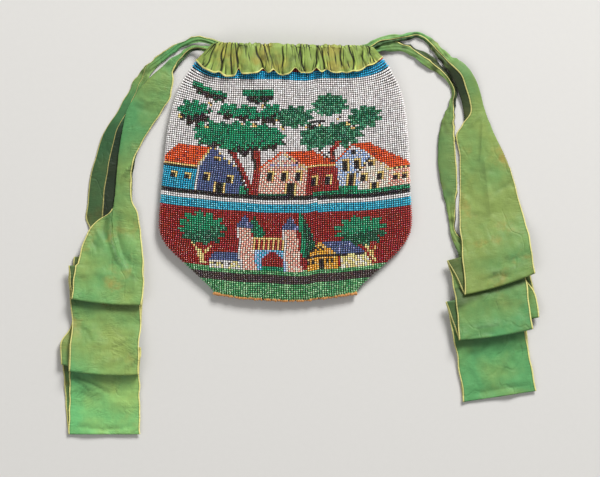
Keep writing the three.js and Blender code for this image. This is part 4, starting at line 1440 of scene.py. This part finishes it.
class PouchTies(bpy.types.Operator):
    """Add the four silk ribbon tails"""

    bl_idname = "pouch.ties"
    bl_label = "Ribbon ties"

    # The grid of the silk, and the seeds of its waves
    COLUMNS = {"front": 60, "back": 44}
    STEP = {"front": 1.5, "back": 2.2}
    FOLD_STEPS = 8
    WAVE_SEEDS = {"left": 40, "right": 41}

    # Lengthwise turns: how many at most, how round, how far apart the layers lie, and where a pleat's is
    TURNS = 4
    TURN_ROUND = 0.8
    LAYER_GAP = 0.45
    RIDGE = ((9, 27, 40, 52, 64), (16, 20, 21, 17.5, 10))

    # Crosswise folds: how far the silk stands up, over what length, and how far it bows ahead
    FOLD_SWELL = 2.4
    FOLD_REACH = 9
    FOLD_BOW = 1.4

    # The lowest that the silk lies, and the brightest and darkest that it gets
    LOWEST = 0.25
    SHADES = (-0.8, 0.93)

    def execute(self, context):
        silk = context.scene.pouch_silk
        finish = ribbon_finish(silk)
        width = silk.ribbon_width / MM
        for name, tie in TIES.items():
            _, side, layer = name.split("_")
            columns = self.COLUMNS[layer]
            tail = ribbon_path(tie.sections, self.STEP[layer], self.FOLD_STEPS)
            last_row = len(tail.x) - 1
            cloth = flat_cloth(columns, last_row)
            across, along = places_on(cloth)
            column = np.round(across * columns).astype(int)
            row = np.round(along * last_row).astype(int)
            points, length, shade = self.folded(tail, tie, width, columns, self.WAVE_SEEDS[side])
            shape_cloth(cloth, points[row, column], across, length[row] / width)
            store(cloth, "shade", shade[row, column])
            store(cloth, "warm", by_section(tie.warm, tail.section)[row, 0])
            store(cloth, "crush", np.full(row.shape, tie.crush))
            piece = add_piece(f"{name}_ribbon", cloth, finish)
            thicken(piece, silk.thickness, 0)
            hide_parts(name)
        return {"FINISHED"}

    def insets(self, tail, tie):
        """How far in from the edge of the folded tail the visible selvedge lies, in each row."""
        inset = by_section(tie.inset, tail.section)
        return np.minimum(inset, 0.42 * tail.width) * (1 - smoothstep(*tie.inset_until, tail.width))

    def turn_places(self, tail, tie, width):
        """Where the cloth turns back on itself in each row, measured from the selvedge that shows."""
        never = 10 * width
        wide = np.minimum(tail.width, width)
        turns = wide * np.arange(1, self.TURNS + 1) - self.insets(tail, tie)
        turns[:, tie.wraps :] = never
        turns = np.where(wide >= tie.open_at[1], never, turns)
        if tie.pleat_from is not None:
            opened = (tail.section >= tie.pleat_from) & (wide > width / 3) & (wide < tie.open_at[1])
            first = np.minimum(wide, np.interp(-tail.y, *self.RIDGE))
            pleat = np.full(turns.shape, never)
            pleat[:, :2] = np.hstack([first, first + (width - wide) / 2])
            turns = np.where(opened, pleat, turns)
        return turns

    def laid_over(self, tail, tie, width, share):
        """How far to the right the cloth lies, the layers over it, and its way past the first turn."""
        wide = tail.width
        from_selvedge = share if tie.selvedge < 0 else 1 - share
        inset = self.insets(tail, tie)
        cloth = np.minimum(width, (self.TURNS + 0.2) * wide)
        if tie.wraps == 1:
            spare = 2 * wide - inset - 6 * smoothstep(33, 40, wide)
            cloth = np.minimum(spare, width + 20 - 20 * smoothstep(40, 46, wide))
        reach = from_selvedge * (cloth + (wide - cloth) * smoothstep(*tie.open_at, wide))
        turns = self.turn_places(tail, tie, width)
        way = np.ones(reach.shape)
        layer = np.zeros(reach.shape)
        for k in range(self.TURNS):
            passed = np.tanh((reach - turns[:, k : k + 1]) / self.TURN_ROUND)
            way = way * -passed
            layer = layer + 0.5 + 0.5 * passed
        order = np.argsort(from_selvedge[0])
        step = np.gradient(reach[:, order], axis=1) * way[:, order]
        inward = np.empty(reach.shape)
        inward[:, order] = np.cumsum(step, axis=1) - step[:, :1]
        aside = tie.selvedge * (wide / 2 - inset - inward)
        if tie.wraps > 1:
            aside = aside * (1 - 0.05 * smoothstep(0.6, 1.2, layer))
        return aside, layer, reach - turns[:, :1]

    def folded(self, tail, tie, width, columns, wave_seed):
        """Points of a tail by rows and columns, the length of ribbon up to each row, and its shade."""
        wide = tail.width
        share = np.linspace(0, 1, columns + 1)[None, :]
        aside, layer, past_turn = self.laid_over(tail, tie, width, share)
        length = distances(np.hstack([tail.x, tail.y - tail.ahead, tail.lift]))
        along = length[:, None]
        spare = np.maximum(0, width - wide)
        dome = np.minimum(0.05 * spare, 0.09 * wide) * (1 - (2 * aside / wide).clip(-1, 1) ** 2)
        narrow = 1 - smoothstep(7, 15, wide)
        ribs = 0.4 * np.sin(2 * pi * aside / 2.3 + 2.2 * np.sin(along / 11)) * narrow
        swell, bow = self.fold_shape(tail, length, share)
        rng = np.random.default_rng(wave_seed)
        crumple_rng = np.random.default_rng(wave_seed + 10)
        edge = np.abs(2 * share - 1) ** 5
        kinks = 0.5 - np.abs(ripple(crumple_rng, along, 2 * aside, 9, 20))
        frayed = aside * (1 + 0.32 * narrow * kinks)
        frayed = frayed + 0.3 * edge * ripple(rng, along, share * 9, 7, 24)
        angle = np.radians(tail.across)
        ahead = tail.ahead + bow
        x = tail.x + frayed * np.cos(angle) + ahead * np.sin(angle)
        y = tail.y + frayed * np.sin(angle) - ahead * np.cos(angle)
        waves = 0.42 * ripple(rng, x, y, 16, 48) + 0.15 * ripple(rng, x, y, 7, 15)
        waves = waves + 0.05 * tie.crush * ripple(rng, x, y, 3.5, 6)
        gap = self.LAYER_GAP * np.clip((width - wide) / 18, 0.2, 1)
        z = tail.lift + (1 + 0.03 * spare) - 0.5 - gap * layer + dome + ribs + swell
        z = z + waves * np.clip(wide / 40, 0.2, 1)
        crumple = np.abs(ripple(crumple_rng, x, y, 6, 15))
        z = z - 0.7 * narrow * crumple
        # A painted highlight along the folded edge of the tail, up to its first crosswise fold
        fold_edge_highlight = hump(past_turn, 0.9) * (tail.folds < 0.01)
        shade = self.shades(tie, tail, x, y, layer) - 0.5 * fold_edge_highlight
        # Painted shade where the narrow parts are crumpled down, and painted light on their ridges
        shade = shade + narrow * (0.3 * crumple - 0.2)
        for wrinkle in tie.wrinkles:
            height, dark = self.pressed(wrinkle, x, y)
            z = z + height
            shade = shade + dark
        return np.stack([x, y, np.maximum(z, self.LOWEST)], axis=2), length, np.clip(shade, *self.SHADES)

    def shades(self, tie, tail, x, y, layer):
        """How much painted shade lies on the silk under its folds, inside its loops and where it lies under
        another layer, and at some sections, where below 0 it is painted light.
        """
        covered = np.clip(layer, 0, 1)
        shade = 0.6 * covered * (1 - smoothstep(40, 46, tail.width))
        if tie.pleat_from is not None:
            shade = shade * (1 - smoothstep(tie.pleat_from, tie.pleat_from + 2, tail.section))
        if tie.wraps == 1:
            middle = smoothstep(8.5, 11, tail.section) * smoothstep(16, 14.5, tail.section)
            shade = (0.32 - 0.28 * covered) * middle
        # Painted shade by section, and painted light where it is below 0
        shade = shade + by_section(tie.dim, tail.section)
        hidden = 0.66 * np.sin(pi * tail.folds / 2) ** 2
        shade = np.where(hidden > 0.01, np.maximum(shade, hidden), shade)
        turned = [section for section in tie.sections if section.turn is not None]
        for passed, fold in enumerate(turned[::2]):
            angle = radians(fold.across)
            below = (x - fold.x) * np.sin(angle) - (y - fold.y) * np.cos(angle)
            right = ((x - fold.x) * np.cos(angle) + (y - fold.y) * np.sin(angle)) / (fold.width / 2)
            depth = 8 - 2.5 * right + 1.5 * np.sin(2.6 * right + passed)
            under = (below > -6) & (np.abs(tail.folds - 2 * passed - 2) < 0.01)
            shade = shade + 0.4 * smoothstep(depth, depth - 4.5, below) * under
        return shade

    def pressed(self, wrinkle, x, y):
        """Height of one crease at places in plan, and the painted shade it lays beside itself, painted
        light where that is below 0; it fades towards its ends.
        """
        points = np.array(wrinkle.points, float)
        lengths = np.linalg.norm(np.diff(points, axis=0), axis=1)
        nearest = np.full(x.shape, np.inf)
        off = np.zeros(x.shape)
        along = np.zeros(x.shape)
        done = 0
        for (x0, y0), (x1, y1), length in zip(points, points[1:], lengths):
            dx, dy = (x1 - x0) / length, (y1 - y0) / length
            way = np.clip((x - x0) * dx + (y - y0) * dy, 0, length)
            gap = np.hypot(x - x0 - way * dx, y - y0 - way * dy)
            nearer = gap < nearest
            nearest = np.where(nearer, gap, nearest)
            off = np.where(nearer, np.copysign(gap, (x - x0) * dy - (y - y0) * dx), off)
            along = np.where(nearer, (done + way) / lengths.sum(), along)
            done += length
        fade = np.clip(1 - (2 * along - 1) ** 4, 0, 1)
        dark = 1.4 * np.where(off > 0, wrinkle.left, wrinkle.right) * groove(nearest, wrinkle.spread)
        return wrinkle.height * fade * hump(off, wrinkle.spread), fade * dark

    def fold_shape(self, tail, length, share):
        """How far the cloth stands up near the folds that lie on top, and how far those folds bow ahead."""
        swell, bow = np.zeros((2, len(length), share.shape[1]))
        for fold in range(0, int(tail.folds.max()), 2):
            here = np.interp(fold + 0.5, tail.folds[:, 0], length)
            gap = (length[:, None] - here) / self.FOLD_REACH
            after = np.clip(tail.folds - fold, 0, 1)
            tilt = 0.8 + 0.2 * np.sin(pi * share)
            swell = swell + self.FOLD_SWELL * hump(gap, 1) * (1 - 0.65 * after) * tilt
            bow = bow + self.FOLD_BOW * hump(1.6 * gap, 1) * (1 - (2 * share - 1) ** 2)
        return swell, bow


# The stage


class PouchStage(bpy.types.Operator):
    """Add the floor, the lights and the camera"""

    bl_idname = "pouch.stage"
    bl_label = "Floor, lights and camera"

    LIGHTS = {"key_light": ((1.05, 2.05, 1.8), 1.0, 106.0), "fill_light": ((-1.2, -1.2, 2.4), 2.0, 22.0)}
    ROOM_LIGHT = 0.22
    FLOOR_LEVEL = -0.0003
    FLOOR_REACH = 3
    SENSOR = 36

    def execute(self, context):
        scene = context.scene
        stage = scene.pouch_stage
        self.add_floor(stage)
        for name, light in self.LIGHTS.items():
            self.add_light(name, *light)
        world = bpy.data.worlds.new("soft_room")
        world.use_nodes = True
        room = world.node_tree.nodes["Background"].inputs
        room["Color"].default_value = (1, 1, 1, 1)
        room["Strength"].default_value = self.ROOM_LIGHT
        scene.world = world
        scene.view_settings.view_transform = "Standard"
        self.add_camera(scene, stage)
        return {"FINISHED"}

    def add_floor(self, stage):
        floor = bmesh.new()
        bmesh.ops.create_grid(floor, x_segments=1, y_segments=1, size=self.FLOOR_REACH)
        mesh = bpy.data.meshes.new("floor")
        floor.to_mesh(mesh)
        floor.free()
        mesh.materials.append(floor_finish(stage.floor))
        plane = bpy.data.objects.new("floor", mesh)
        plane.location.z = self.FLOOR_LEVEL
        bpy.context.scene.collection.objects.link(plane)

    def add_light(self, name, place, size, power):
        """A square soft light that faces the pouch."""
        lamp = bpy.data.lights.new(name, "AREA")
        lamp.size = size
        lamp.energy = power
        light = bpy.data.objects.new(name, lamp)
        light.location = place
        light.rotation_euler = (-light.location).to_track_quat("-Z", "Y").to_euler()
        bpy.context.scene.collection.objects.link(light)

    def add_camera(self, scene, stage):
        lens = bpy.data.cameras.new("camera")
        lens.sensor_width = self.SENSOR
        lens.lens = lens.sensor_width * stage.camera_height / stage.view_width
        camera = bpy.data.objects.new("camera", lens)
        camera.location = (*stage.view_centre, stage.camera_height)
        scene.collection.objects.link(camera)
        scene.camera = camera


class PouchPanel(bpy.types.Panel):
    """The pouch's pieces and stage"""

    bl_idname = "VIEW3D_PT_pouch"
    bl_label = "Bead-knit pouch"
    bl_space_type = "VIEW_3D"
    bl_region_type = "UI"
    bl_category = "Pouch"

    def draw(self, context):
        for operator in OPERATORS:
            self.layout.operator(operator.bl_idname)


SETTINGS = {
    "pouch_colours": PouchBeadColours,
    "pouch_knit": PouchKnitSettings,
    "pouch_silk": PouchSilkSettings,
    "pouch_stage": PouchStageSettings,
}
OPERATORS = (PouchStage, PouchKnit, PouchBeads, PouchCasing, PouchTies)
CLASSES = (*SETTINGS.values(), *OPERATORS, PouchPanel)


def register():
    for item in CLASSES:
        bpy.utils.register_class(item)
    for name, group in SETTINGS.items():
        setattr(bpy.types.Scene, name, PointerProperty(type=group))


def unregister():
    for name in SETTINGS:
        delattr(bpy.types.Scene, name)
    for item in reversed(CLASSES):
        bpy.utils.unregister_class(item)


def main():
    register()
    bpy.ops.pouch.stage()
    bpy.ops.pouch.knit()
    bpy.ops.pouch.beads()
    bpy.ops.pouch.casing()
    bpy.ops.pouch.ties()


if __name__ == "__main__":
    main()
